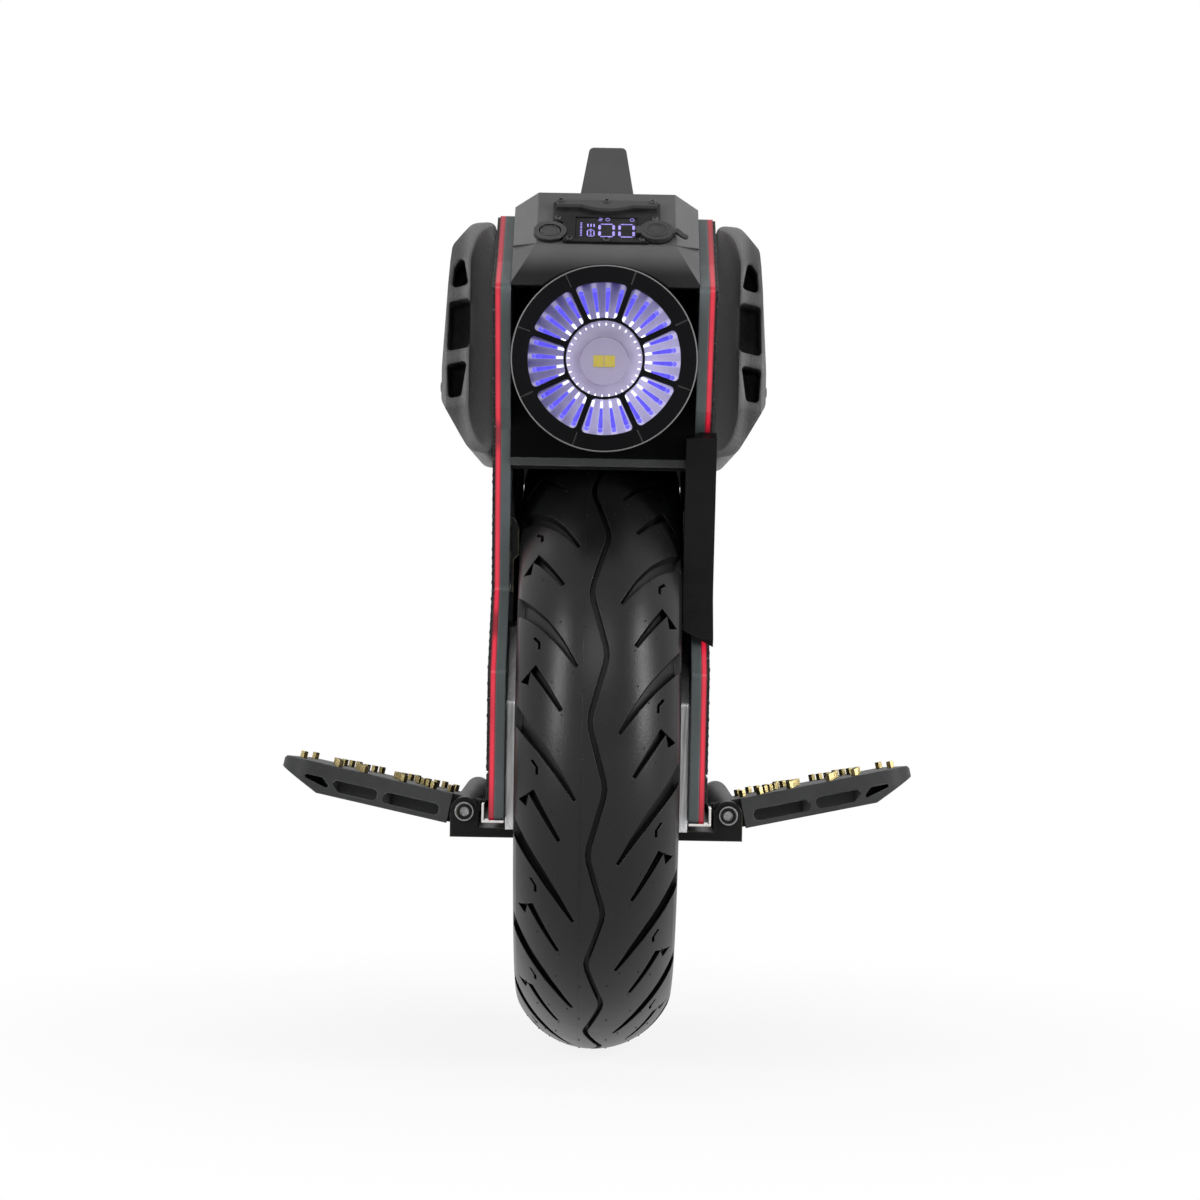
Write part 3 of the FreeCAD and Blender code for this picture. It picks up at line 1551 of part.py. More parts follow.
def make_batteries():
    half = body_half_width - layer_gap
    bottom = bay_floor_z
    front_reach = bulkhead_rear_reach - controller_depth - 2 * layer_gap
    front = block(-half, half, -front_reach, -battery_split / 2.0, bottom, battery_top_z)
    rear = block(-half, half, battery_split / 2.0, battery_rear_reach, bottom, battery_top_z)
    return Part.makeCompound([front, rear])


def make_controller():
    bottom = bay_floor_z
    front = -bulkhead_rear_reach + layer_gap
    half = controller_half_width
    case = block(-half, half, front, front + controller_depth, bottom, bottom + controller_height)
    pitch = 2 * half / (2 * controller_fins + 1)
    gaps = []
    for index in range(controller_fins):
        x0 = -half + pitch * (2 * index + 1)
        gaps.append(block(x0, x0 + pitch, front - cut_margin, front + controller_depth + cut_margin,
                          bottom + controller_height - fin_depth, bottom + controller_height + cut_margin))
    return case.cut(gaps)


# Carry handle, cable cover and clip

def make_handle():
    section = [
        (-handle_base_half_width, cap_top_z), (handle_base_half_width, cap_top_z),
        (handle_top_half_width, handle_top_z), (-handle_top_half_width, handle_top_z),
    ]
    bar = prism(polygon(in_xz(section, -handle_base_reach)), axis_y, 2 * handle_base_reach)
    arch = [
        (-handle_base_reach, cap_top_z), (-handle_top_reach, handle_top_z),
        (handle_top_reach, handle_top_z), (handle_base_reach, cap_top_z),
    ]
    bar = bar.common(prism(polygon(in_yz(arch, -handle_base_half_width)), axis_x, 2 * handle_base_half_width))
    top_edges = [edge for edge in bar.Edges if edge.CenterOfMass.z > handle_top_z - match_tolerance]
    bar = bar.makeFillet(handle_edge_radius, top_edges)
    gap_low = cap_top_z - handle_gap_radius - cut_margin
    gap = [
        (-handle_gap_reach, gap_low), (-handle_gap_reach, cap_top_z + handle_gap_height),
        (handle_gap_reach, cap_top_z + handle_gap_height), (handle_gap_reach, gap_low),
    ]
    wire = rounded(in_yz(gap, -handle_base_half_width - cut_margin), handle_gap_radius)
    return bar.cut(prism(wire, axis_x, 2 * (handle_base_half_width + cut_margin)))


def make_cable_cover():
    """Moulded cover over the cable on the front edge of the right side plate."""
    outer_x = pad_outer_x + guard_overlap
    foot_share = (plate_waist_z - guard_bottom_z) / (plate_waist_z - plate_foot_z)
    bottom_reach = plate_waist_reach + foot_share * (plate_foot_reach - plate_waist_reach)
    top_reach = plate_edge_reach(guard_top_z - guard_slant)
    outline = [
        (-top_reach - layer_gap, guard_top_z - guard_slant),
        (-top_reach - guard_depth, guard_top_z - 2 * guard_slant),
        (-plate_waist_reach - guard_depth - guard_slant, plate_waist_z + guard_slant),
        (-plate_waist_reach - guard_depth - guard_slant, plate_waist_z - guard_slant),
        (-bottom_reach - guard_slant, guard_bottom_z + guard_slant),
        (-bottom_reach - layer_gap, guard_bottom_z),
        (-plate_waist_reach - layer_gap, plate_waist_z),
    ]
    wire = polygon(in_yz(outline, hanger_inner_x))
    body = prism(wire, axis_x, outer_x - hanger_inner_x)
    face = [
        (hanger_inner_x, guard_bottom_z + 2 * guard_slant), (outer_x, guard_bottom_z),
        (outer_x, guard_top_z), (hanger_inner_x, guard_top_z - 2 * guard_slant),
    ]
    body = body.common(prism(polygon(in_xz(face, -tyre_radius)), axis_y, tyre_radius))
    frame_room = block(0.0, body_half_width + layer_gap, -bulkhead_reach - layer_gap, 0.0,
                       crossbar_top_z - crossbar_height - layer_gap, panel_low_z)
    edge_room = shifted_prism(hanger_inner_x - cut_margin, outer_x + cut_margin, -layer_gap)
    body = body.cut([edge_room, frame_room])
    return body.cut(cable_tube(cable_radius + cable_slot_gap))


def make_cable_clip():
    """A clip on the inner face of each side plate, just behind its front edge."""
    inner = hanger_inner_x
    outer = hanger_outer_x
    reach = plate_edge_reach(clip_low_z) - clip_edge_inset
    middle = (clip_low_z + clip_high_z) / 2.0
    outline = [
        (outer, clip_low_z), (outer, clip_high_z), (inner + clip_arm, clip_high_z),
        (inner, clip_high_z - 2 * clip_arm), (inner, middle), (inner + clip_arm, middle - clip_arm),
        (inner + clip_arm, clip_low_z),
    ]
    right = prism(polygon(in_xz(outline, -reach)), axis_y, clip_setback)
    left = mirrored(right)
    left.translate(FreeCAD.Vector(0, 0, -clip_left_drop))
    return Part.makeCompound([right, left])


# Build every piece

save("tyre", make_tyre())
save("rim", make_rim())
save("valve_stem", make_valve())
save_pair("motor_cover", make_motor_cover())
save("motor_cover_screws", make_cover_screws())
save("wheel_bearings", make_bearings())
save("magnet_ring", make_magnets())
save("stator_core", make_stator())
save("stator_windings", make_windings())
save("axle_shaft", make_axle())
save("axle_nuts", make_axle_nuts())
save_pair("hanger_plate", make_hanger())
save_pair("pedal_bracket", make_bracket())
pin = make_hinge_pin()
save("hinge_pins", Part.makeCompound([pin, mirrored(pin)]))
save_pair("pedal", make_pedal())
save_pair("pedal_studs", make_studs())
save("side_plate_right", make_side_plate(True))
save("side_plate_left", mirrored(make_side_plate(False)))
side_cover = inner_outline_prism(plate_outer_x, strip_outer_x)
save_pair("side_cover", side_cover)
front_strip = make_light_strip()
save_pair("light_strip_front", front_strip)
save_pair("light_strip_rear", rear_copy(front_strip))
save_pair("side_pad", make_side_pad())
save("strip_end_clips", make_end_clips())
save_pair("bumper", make_bumper())
save("top_cap", make_top_cap())
save("front_brow", make_brow())
save("display_bezel", make_display_bezel())
save("display_screen", make_display_screen())
save("power_button_ring", make_button_ring())
save("power_button", make_power_button())
save("charge_port", make_charge_port())
save("charge_port_cap", make_port_cap())
save("headlight_bezel", make_lamp_bezel())
save("headlight_housing", make_lamp_housing())
save("headlight_window", make_lamp_window())
save("headlight_lens", make_lamp_lens())
save("headlight_led_board", make_led_board())
save("headlight_emitter", make_emitter())
save("lamp_bulkhead", make_bulkhead())
save("crossbars", make_crossbars())
save("fender", make_fender())
save("rear_cover", make_rear_cover())
save("tail_light_lens", tail_light_block(tail_inset, tail_proud))
save("battery_packs", make_batteries())
save("controller", make_controller())
save("carry_handle", make_handle())
save("motor_cable", cable_tube(cable_radius))
save("cable_cover", make_cable_cover())
save("cable_clip", make_cable_clip())
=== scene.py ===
# %% [markdown]
# # Dressing an electric unicycle
# The machine is already built as a CAD model: a motor wheel between two side plates, folding
# pedals, a round lamp and a display. This lesson gives every piece its finish, adds the small
# pieces that only a close look shows, and lights the whole in a plain white studio.

# %% Load the frame
import json
import math
import random

import bmesh
import bpy
from mathutils import Matrix, Vector


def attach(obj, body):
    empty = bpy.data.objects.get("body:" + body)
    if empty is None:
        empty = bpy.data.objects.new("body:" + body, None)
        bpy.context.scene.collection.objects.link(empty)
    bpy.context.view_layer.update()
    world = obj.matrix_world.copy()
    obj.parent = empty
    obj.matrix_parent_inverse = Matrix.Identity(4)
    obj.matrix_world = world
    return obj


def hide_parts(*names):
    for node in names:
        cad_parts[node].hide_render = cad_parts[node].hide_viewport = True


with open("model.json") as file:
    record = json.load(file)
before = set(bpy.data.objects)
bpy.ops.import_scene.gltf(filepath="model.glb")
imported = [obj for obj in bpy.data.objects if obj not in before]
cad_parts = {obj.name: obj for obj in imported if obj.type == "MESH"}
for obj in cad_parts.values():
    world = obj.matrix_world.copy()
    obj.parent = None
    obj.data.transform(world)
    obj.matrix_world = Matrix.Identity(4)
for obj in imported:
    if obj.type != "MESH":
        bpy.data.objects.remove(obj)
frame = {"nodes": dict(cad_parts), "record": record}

nodes = frame["nodes"]
scene = bpy.context.scene
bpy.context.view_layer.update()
MM = 0.001

# %% [markdown]
# ## Camera
# The machine is seen from straight ahead at the height of the tyre's shoulder. A short lens close by
# would show more of the top, but a long lens keeps the pedals and the bumpers in proportion. The
# camera is turned by one degree, because the machine leans a little to one side in the picture.

# %% Camera
CAMERA_DISTANCE = 1.939
CAMERA_HEIGHT = 0.297
CAMERA_LENS_MM = 87.18
CAMERA_SENSOR_MM = 36.0
CAMERA_LEAN = math.radians(-1.0)
camera_data = bpy.data.cameras.new("front_camera")
camera_data.lens = CAMERA_LENS_MM
camera_data.sensor_width = CAMERA_SENSOR_MM
camera = bpy.data.objects.new("front_camera", camera_data)
camera.location = (0.0, -CAMERA_DISTANCE, CAMERA_HEIGHT)
camera.rotation_euler = (math.pi / 2, CAMERA_LEAN, 0.0)
scene.collection.objects.link(camera)
scene.camera = camera
print("camera at", tuple(camera.location))

# %% [markdown]
# ## Node helpers
# A finish is a small graph of nodes. It could be drawn by hand in the shader editor, but code can be
# read and repeated. Short helpers add a node, join sockets or set them, start a shared group, and
# make the sums and blends that come back in every graph.

# %% Node helpers
def add(tree, kind, **settings):
    made = tree.nodes.new(kind)
    for key, value in settings.items():
        setattr(made, key, value)
    return made


def join(tree, source, target):
    tree.links.new(source, target)


def feed(tree, value, socket):
    """Set a socket to a number or a colour, or join it to another socket."""
    if isinstance(value, (int, float)):
        socket.default_value = value
    elif isinstance(value, tuple):
        socket.default_value = (*value, 1.0)
    else:
        join(tree, value, socket)


def start_group(name, inputs, outputs):
    group = bpy.data.node_groups.new(name, "ShaderNodeTree")
    for label, kind, value in inputs:
        socket = group.interface.new_socket(label, in_out="INPUT", socket_type=kind)
        socket.default_value = value
    for label, kind in outputs:
        group.interface.new_socket(label, in_out="OUTPUT", socket_type=kind)
    return group, add(group, "NodeGroupInput"), add(group, "NodeGroupOutput")


def object_place(tree):
    return add(tree, "ShaderNodeTexCoord").outputs["Object"]


def split_axes(tree, vector):
    made = add(tree, "ShaderNodeSeparateXYZ")
    join(tree, vector, made.inputs[0])
    return made.outputs


def math_node(tree, operation, first, second=None, clamp=False):
    made = add(tree, "ShaderNodeMath", operation=operation, use_clamp=clamp)
    feed(tree, first, made.inputs[0])
    if second is not None:
        feed(tree, second, made.inputs[1])
    return made.outputs[0]


def multiply_all(tree, first, *others):
    for other in others:
        first = math_node(tree, "MULTIPLY", first, other)
    return first


def hypotenuse(tree, first, second):
    squares = [math_node(tree, "MULTIPLY", value, value) for value in (first, second)]
    return math_node(tree, "SQRT", math_node(tree, "ADD", *squares))


def noise(tree, scale, detail=3.0, rough=0.55, coordinate=None):
    made = add(tree, "ShaderNodeTexNoise")
    made.inputs["Detail"].default_value = detail
    made.inputs["Roughness"].default_value = rough
    feed(tree, scale, made.inputs["Scale"])
    join(tree, coordinate or object_place(tree), made.inputs["Vector"])
    return made.outputs["Fac"]


def ramp(tree, value, low, high, to_low=0.0, to_high=1.0):
    """Smooth step from one value to another while the input runs from low to high."""
    made = add(tree, "ShaderNodeMapRange", interpolation_type="SMOOTHSTEP")
    join(tree, value, made.inputs["Value"])
    made.inputs["From Min"].default_value = low
    made.inputs["From Max"].default_value = high
    made.inputs["To Min"].default_value = to_low
    made.inputs["To Max"].default_value = to_high
    return made.outputs["Result"]


def blend_colour(tree, share, first, second):
    made = add(tree, "ShaderNodeMix", data_type="RGBA")
    join(tree, share, made.inputs["Factor"])
    colours = [socket for socket in made.inputs if socket.type == "RGBA"]
    feed(tree, first, colours[0])
    feed(tree, second, colours[1])
    return next(socket for socket in made.outputs if socket.type == "RGBA")


print("node helpers ready")

# %% [markdown]
# ## Shared effects
# Four effects come back in many finishes. They could be copied into each material, but as node groups
# they are built once. The rounded edge reads a small bevel at render time: it gives a soft normal and
# a mask of the worn corners. The moulded grain is the fine texture of plastic and cast paint. Settled
# dust gathers on faces that look up. The brushed lines are the long scratches of rolled metal.

# %% Shared effect groups
EDGE_TURN = (0.004, 0.12)
WEAR_PATCH_SCALE = 90.0
WEAR_PATCHES = (0.35, 0.7)
CELL_SHARE = 0.6
SPECKS = (0.4, 0.66)
BLOTCH_SCALE = 14.0
BLOTCHES = (0.3, 0.7)
DUST_SLOPES = (0.35, 1.0)
DUST_PATCH_SCALE = 38.0
DUST_PATCHES = (0.42, 0.75)
STREAKS = (0.3, 0.7)


def build_rounded_edge():
    group, enter, leave = start_group(
        "Rounded edge",
        [("Radius", "NodeSocketFloat", 0.001), ("Wear", "NodeSocketFloat", 0.5)],
        [("Normal", "NodeSocketVector"), ("Mask", "NodeSocketFloat")])
    bevel = add(group, "ShaderNodeBevel", samples=4)
    join(group, enter.outputs["Radius"], bevel.inputs["Radius"])
    flat = add(group, "ShaderNodeNewGeometry")
    dot = add(group, "ShaderNodeVectorMath", operation="DOT_PRODUCT")
    join(group, bevel.outputs["Normal"], dot.inputs[0])
    join(group, flat.outputs["Normal"], dot.inputs[1])
    turned = math_node(group, "SUBTRACT", 1.0, dot.outputs["Value"], clamp=True)
    patchy = ramp(group, noise(group, WEAR_PATCH_SCALE, 4.0), *WEAR_PATCHES)
    worn = math_node(group, "MULTIPLY", ramp(group, turned, *EDGE_TURN), patchy)
    mask = math_node(group, "MULTIPLY", worn, enter.outputs["Wear"], clamp=True)
    join(group, mask, leave.inputs["Mask"])
    join(group, bevel.outputs["Normal"], leave.inputs["Normal"])
    return group


def build_moulded_grain():
    group, enter, leave = start_group(
        "Moulded grain",
        [("Scale", "NodeSocketFloat", 900.0)],
        [("Height", "NodeSocketFloat"), ("Speck", "NodeSocketFloat"), ("Blotch", "NodeSocketFloat")])
    place = object_place(group)
    cells = add(group, "ShaderNodeTexVoronoi")
    join(group, place, cells.inputs["Vector"])
    join(group, enter.outputs["Scale"], cells.inputs["Scale"])
    fine = noise(group, enter.outputs["Scale"], 4.0, 0.6, place)
    pits = math_node(group, "MULTIPLY", cells.outputs["Distance"], CELL_SHARE)
    join(group, math_node(group, "ADD", pits, fine), leave.inputs["Height"])
    join(group, ramp(group, fine, *SPECKS), leave.inputs["Speck"])
    broad = noise(group, BLOTCH_SCALE, 5.0, 0.6, place)
    join(group, ramp(group, broad, *BLOTCHES), leave.inputs["Blotch"])
    return group


def build_settled_dust():
    group, enter, leave = start_group(
        "Settled dust", [("Amount", "NodeSocketFloat", 0.2)], [("Mask", "NodeSocketFloat")])
    facing_axes = split_axes(group, add(group, "ShaderNodeNewGeometry").outputs["Normal"])
    upward = ramp(group, facing_axes["Z"], *DUST_SLOPES)
    patches = ramp(group, noise(group, DUST_PATCH_SCALE, 6.0, 0.65), *DUST_PATCHES)
    dust = math_node(group, "MULTIPLY", upward, patches)
    mask = math_node(group, "MULTIPLY", dust, enter.outputs["Amount"], clamp=True)
    join(group, mask, leave.inputs["Mask"])
    return group


def build_brushed_lines():
    group, enter, leave = start_group(
        "Brushed lines",
        [("Stretch", "NodeSocketVector", (40.0, 900.0, 40.0))],
        [("Height", "NodeSocketFloat"), ("Streak", "NodeSocketFloat")])
    scaled = add(group, "ShaderNodeVectorMath", operation="MULTIPLY")
    join(group, object_place(group), scaled.inputs[0])
    join(group, enter.outputs["Stretch"], scaled.inputs[1])
    lines = noise(group, 1.0, 3.0, 0.6, scaled.outputs[0])
    join(group, lines, leave.inputs["Height"])
    join(group, ramp(group, lines, *STREAKS), leave.inputs["Streak"])
    return group


rounded_edge = build_rounded_edge()
moulded_grain = build_moulded_grain()
settled_dust = build_settled_dust()
brushed_lines = build_brushed_lines()
print("groups", [group.name for group in bpy.data.node_groups])

# %% [markdown]
# ## A finish in one call
# Every piece could have a graph of its own, but most share one recipe with their own values: a base
# colour with blotches, a grain that moves the gloss and the bump, bright or pale wear on the corners,
# and a little dust on top. Metal has brushed lines instead of grain. The shader itself stays in the
# material, and every constant is set on the shader's own socket.

# %% The finish recipes
DUST_COLOUR = (0.30, 0.29, 0.275)
DUST_AMOUNT = 0.12
GRAIN_STRENGTH = 0.6
BRUSH_STRENGTH = 0.25
BRUSH_DEPTH_MM = 0.1


def use_group(tree, group, **values):
    made = add(tree, "ShaderNodeGroup", node_tree=group)
    for label, value in values.items():
        made.inputs[label].default_value = value
    return made.outputs


def start_material(name):
    material = bpy.data.materials.new(name)
    material.use_nodes = True
    tree = material.node_tree
    return material, tree, tree.nodes["Principled BSDF"]


def add_relief(tree, shader, height, strength, depth_mm, normal=None):
    relief = add(tree, "ShaderNodeBump")
    relief.inputs["Strength"].default_value = strength
    relief.inputs["Distance"].default_value = depth_mm * MM
    join(tree, height, relief.inputs["Height"])
    if normal:
        join(tree, normal, relief.inputs["Normal"])
    join(tree, relief.outputs["Normal"], shader.inputs["Normal"])


def finish(name, base, second, rough, grain, bump_mm, edge_mm, worn, wear=0.5, metal=0.0, coat=0.0,
           specular=0.5):
    """Grained finish that blends two colours, with worn corners and dust; rough is a range."""
    material, tree, shader = start_material(name)
    shader.inputs["Metallic"].default_value = metal
    shader.inputs["Coat Weight"].default_value = coat
    shader.inputs["Specular IOR Level"].default_value = specular
    texture = use_group(tree, moulded_grain, Scale=grain)
    corner = use_group(tree, rounded_edge, Radius=edge_mm * MM, Wear=wear)
    film = use_group(tree, settled_dust, Amount=DUST_AMOUNT)
    colour = blend_colour(tree, texture["Blotch"], base, second)
    colour = blend_colour(tree, corner["Mask"], colour, worn)
    colour = blend_colour(tree, film["Mask"], colour, DUST_COLOUR)
    join(tree, colour, shader.inputs["Base Color"])
    join(tree, ramp(tree, texture["Speck"], 0.0, 1.0, *rough), shader.inputs["Roughness"])
    add_relief(tree, shader, texture["Height"], GRAIN_STRENGTH, bump_mm, corner["Normal"])
    return material


def brushed(name, base, second, rough, stretch, edge_mm):
    """Bare metal with long fine lines; stretch is the number of lines along each axis."""
    material, tree, shader = start_material(name)
    shader.inputs["Metallic"].default_value = 1.0
    lines = use_group(tree, brushed_lines, Stretch=stretch)
    corner = use_group(tree, rounded_edge, Radius=edge_mm * MM)
    join(tree, blend_colour(tree, lines["Streak"], base, second), shader.inputs["Base Color"])
    join(tree, ramp(tree, lines["Streak"], 0.0, 1.0, *rough), shader.inputs["Roughness"])
    add_relief(tree, shader, lines["Height"], BRUSH_STRENGTH, BRUSH_DEPTH_MM, corner["Normal"])
    return material


print("finish recipes ready")

# %% [markdown]
# ## The common finishes
# These are the finishes of the machine's material slots: painted and cast metal, moulded plastics,
# rubber, brass studs and bare steel. They could be made one by one in the shader editor. A table of
# named values shows them side by side instead, so that two greys are easy to compare: two colours, the
# range of roughness, the grain, the bump and edge sizes, and the colour of the worn corners.

# %% The common finishes
GRAINED = {
    "rim_paint": dict(
        base=(0.008, 0.008, 0.009), second=(0.014, 0.014, 0.015), rough=(0.3, 0.42),
        grain=1400.0, bump_mm=0.08, edge_mm=1.2, worn=(0.2, 0.2, 0.21), coat=0.3),
    "stator_steel": dict(
        base=(0.16, 0.16, 0.165), second=(0.22, 0.2, 0.19), rough=(0.4, 0.6),
        grain=700.0, bump_mm=0.1, edge_mm=0.6, worn=(0.5, 0.48, 0.45), metal=0.9),
    "copper": dict(
        base=(0.55, 0.24, 0.1), second=(0.42, 0.16, 0.07), rough=(0.25, 0.4),
        grain=500.0, bump_mm=0.3, edge_mm=1.0, worn=(0.8, 0.5, 0.3), metal=1.0, coat=0.4),
    "bracket_black": dict(
        base=(0.005, 0.005, 0.0055), second=(0.009, 0.009, 0.0095), rough=(0.36, 0.5),
        grain=1500.0, bump_mm=0.06, edge_mm=1.2, worn=(0.2, 0.18, 0.13), wear=0.8, specular=0.12),
    "plate_slate": dict(
        base=(0.068, 0.081, 0.083), second=(0.09, 0.105, 0.108), rough=(0.38, 0.5),
        grain=1300.0, bump_mm=0.08, edge_mm=1.2, worn=(0.16, 0.19, 0.2), wear=0.7, specular=0.3),
    "black_plastic": dict(
        base=(0.004, 0.004, 0.0045), second=(0.007, 0.007, 0.0075), rough=(0.42, 0.58),
        grain=1100.0, bump_mm=0.12, edge_mm=1.0, worn=(0.03, 0.03, 0.032), specular=0.1),
    "bumper_grey": dict(
        base=(0.056, 0.056, 0.057), second=(0.08, 0.08, 0.081), rough=(0.46, 0.66),
        grain=620.0, bump_mm=0.5, edge_mm=4.5, worn=(0.15, 0.15, 0.15), wear=0.6, specular=0.35),
    "cap_plastic": dict(
        base=(0.067, 0.067, 0.068), second=(0.084, 0.084, 0.085), rough=(0.38, 0.48),
        grain=1500.0, bump_mm=0.08, edge_mm=1.4, worn=(0.13, 0.13, 0.132), wear=0.6, specular=0.3),
    "lamp_black": dict(
        base=(0.003, 0.003, 0.0035), second=(0.005, 0.005, 0.006), rough=(0.36, 0.5),
        grain=1300.0, bump_mm=0.08, edge_mm=0.6, worn=(0.06, 0.058, 0.055), wear=0.9, specular=0.04),
    "button_plastic": dict(
        base=(0.004, 0.004, 0.0045), second=(0.007, 0.007, 0.0075), rough=(0.3, 0.34),
        grain=1300.0, bump_mm=0.008, edge_mm=0.8, worn=(0.1, 0.1, 0.103)),
    "cap_rubber": dict(
        base=(0.006, 0.006, 0.0063), second=(0.009, 0.009, 0.0093), rough=(0.5, 0.62),
        grain=900.0, bump_mm=0.1, edge_mm=0.9, worn=(0.05, 0.05, 0.05)),
    "pedal_black": dict(
        base=(0.034, 0.0345, 0.0355), second=(0.054, 0.0545, 0.056), rough=(0.45, 0.6),
        grain=1500.0, bump_mm=0.08, edge_mm=1.4, worn=(0.16, 0.17, 0.18), wear=0.8, specular=0.15),
    "stud_brass": dict(
        base=(0.3, 0.245, 0.115), second=(0.16, 0.13, 0.06), rough=(0.24, 0.4),
        grain=900.0, bump_mm=0.06, edge_mm=0.5, worn=(0.7, 0.62, 0.4), metal=1.0),
    "cell_wrap": dict(
        base=(0.03, 0.1, 0.22), second=(0.04, 0.13, 0.27), rough=(0.3, 0.42),
        grain=600.0, bump_mm=0.1, edge_mm=2.0, worn=(0.2, 0.3, 0.4)),
    "cable_rubber": dict(
        base=(0.012, 0.012, 0.012), second=(0.02, 0.02, 0.02), rough=(0.5, 0.62),
        grain=800.0, bump_mm=0.1, edge_mm=0.6, worn=(0.06, 0.06, 0.06)),
    "screen_glass": dict(
        base=(0.006, 0.006, 0.008), second=(0.01, 0.01, 0.012), rough=(0.1, 0.2),
        grain=1200.0, bump_mm=0.02, edge_mm=0.5, worn=(0.04, 0.04, 0.045), wear=0.2, specular=0.1),
}
BRUSHED = {
    "steel": dict(
        base=(0.55, 0.55, 0.56), second=(0.42, 0.42, 0.43), rough=(0.22, 0.36),
        stretch=(60.0, 900.0, 900.0), edge_mm=0.6),
    "hanger_aluminium": dict(
        base=(0.8, 0.8, 0.81), second=(0.62, 0.62, 0.63), rough=(0.3, 0.45),
        stretch=(900.0, 1200.0, 30.0), edge_mm=1.0),
    "clip_metal": dict(
        base=(0.72, 0.7, 0.68), second=(0.6, 0.58, 0.56), rough=(0.14, 0.26),
        stretch=(300.0, 900.0, 300.0), edge_mm=0.8),
}
finishes = {name: finish(name, **values) for name, values in GRAINED.items()}
finishes.update({name: brushed(name, **values) for name, values in BRUSHED.items()})
print("common finishes", len(finishes))

# %% [markdown]
# ## Tyre rubber
# The tread is satin black rubber. Groove floors are duller than the crown, and darker: the darkening is
# painted shade in the grooves. They could be painted by hand, but the material finds them by itself: it
# measures how far a point lies below the crown's curve. A broad noise varies the gloss, as handling and
# mould release do on a new tyre.

# %% Tyre rubber
TYRE_RADIUS = 0.207
CROWN_RADIUS = 0.055
GROOVE_DEPTHS = (CROWN_RADIUS - 0.0042, CROWN_RADIUS - 0.0008)
TREAD_REACH = (0.018, 0.026)
TYRE_GLOSS = (0.28, 0.38)
GROOVE_DULLNESS = 0.2
TYRE_GRAIN = 1100.0
TYRE_EDGE = 0.9 * MM


def build_tyre_rubber():
    material, tree, shader = start_material("tyre_rubber")
    shader.inputs["Specular IOR Level"].default_value = 0.28
    place = object_place(tree)
    axes = split_axes(tree, place)
    rise = math_node(tree, "SUBTRACT", axes["Z"], TYRE_RADIUS)
    radius = hypotenuse(tree, axes["Y"], rise)
    reach = math_node(tree, "SUBTRACT", radius, TYRE_RADIUS - CROWN_RADIUS)
    curve = hypotenuse(tree, axes["X"], reach)
    below = ramp(tree, curve, *GROOVE_DEPTHS, 1.0, 0.0)
    groove = math_node(tree, "MULTIPLY", below, ramp(tree, reach, *TREAD_REACH))
    texture = use_group(tree, moulded_grain, Scale=TYRE_GRAIN)
    corner = use_group(tree, rounded_edge, Radius=TYRE_EDGE, Wear=0.35)
    broad = ramp(tree, noise(tree, 9.0, 5.0, 0.6, place), 0.3, 0.7)
    colour = blend_colour(tree, broad, (0.004, 0.004, 0.0042), (0.007, 0.007, 0.0073))
    # Groove floors get a darker colour: painted shade in the grooves.
    colour = blend_colour(tree, groove, colour, (0.0015, 0.0015, 0.0015))
    colour = blend_colour(tree, corner["Mask"], colour, (0.03, 0.03, 0.031))
    join(tree, colour, shader.inputs["Base Color"])
    dull = math_node(tree, "MULTIPLY", groove, GROOVE_DULLNESS)
    gloss = math_node(tree, "ADD", ramp(tree, broad, 0.0, 1.0, *TYRE_GLOSS), dull)
    join(tree, gloss, shader.inputs["Roughness"])
    add_relief(tree, shader, texture["Height"], strength=0.5, depth_mm=0.1, normal=corner["Normal"])
    return material


finishes["tyre_rubber"] = build_tyre_rubber()
print("tyre rubber ready")

# %% [markdown]
# ## Light strips and tail light
# The red strips glow through a milky diffuser, brighter in the middle of each run than at its joints
# and ends. Many small lamps inside would be slow to render, so the surface itself glows, and a mask
# dims it where the real strip is dim. The tail light shows the even grid of its lenses.

# %% Light strips and tail light
STRIP_RED = (0.95, 0.025, 0.065)
STRIP_DIM = (0.07, 0.002, 0.005)
STRIP_UNLIT = (0.1, 0.003, 0.008)
STRIP_JOINTS = (0.398, 0.281)
JOINT_REACH = (0.003, 0.012)
STRIP_FOOT = (0.15, 0.19)
STRIP_HEAD = (0.47, 0.52)
STRIP_INNER_EDGE = (0.063, 0.0642)
STRIP_OUTER_EDGE = (0.0654, 0.0665)
TAIL_LENS_SCALE = 130.0


def glow(name, low_colour, high_colour, mask_builder, strength, rough=0.3, body=None):
    """Glowing finish between two colours; body is the colour of the unlit material, if it differs."""
    material, tree, shader = start_material(name)
    place = object_place(tree)
    share = mask_builder(tree, place, split_axes(tree, place))
    colour = blend_colour(tree, share, low_colour, high_colour)
    feed(tree, body or colour, shader.inputs["Base Color"])
    join(tree, colour, shader.inputs["Emission Color"])
    shader.inputs["Emission Strength"].default_value = strength
    shader.inputs["Roughness"].default_value = rough
    return material


def strip_mask(tree, place, axes):
    soft = ramp(tree, noise(tree, 26.0, 3.0, 0.5, place), 0.2, 0.6)
    shares = [ramp(tree, soft, 0.0, 1.0, 0.72, 1.0)]
    for height in STRIP_JOINTS:
        offset = math_node(tree, "ABSOLUTE", math_node(tree, "SUBTRACT", axes["Z"], height))
        shares.append(ramp(tree, offset, *JOINT_REACH, 0.25, 1.0))
    shares.append(ramp(tree, axes["Z"], *STRIP_FOOT, 0.2, 1.0))
    shares.append(ramp(tree, axes["Z"], *STRIP_HEAD, 1.0, 0.45))
    outward = math_node(tree, "ABSOLUTE", axes["X"])
    shares.append(ramp(tree, outward, *STRIP_INNER_EDGE, 0.1, 1.0))
    shares.append(ramp(tree, outward, *STRIP_OUTER_EDGE, 1.0, 0.1))
    return multiply_all(tree, *shares)


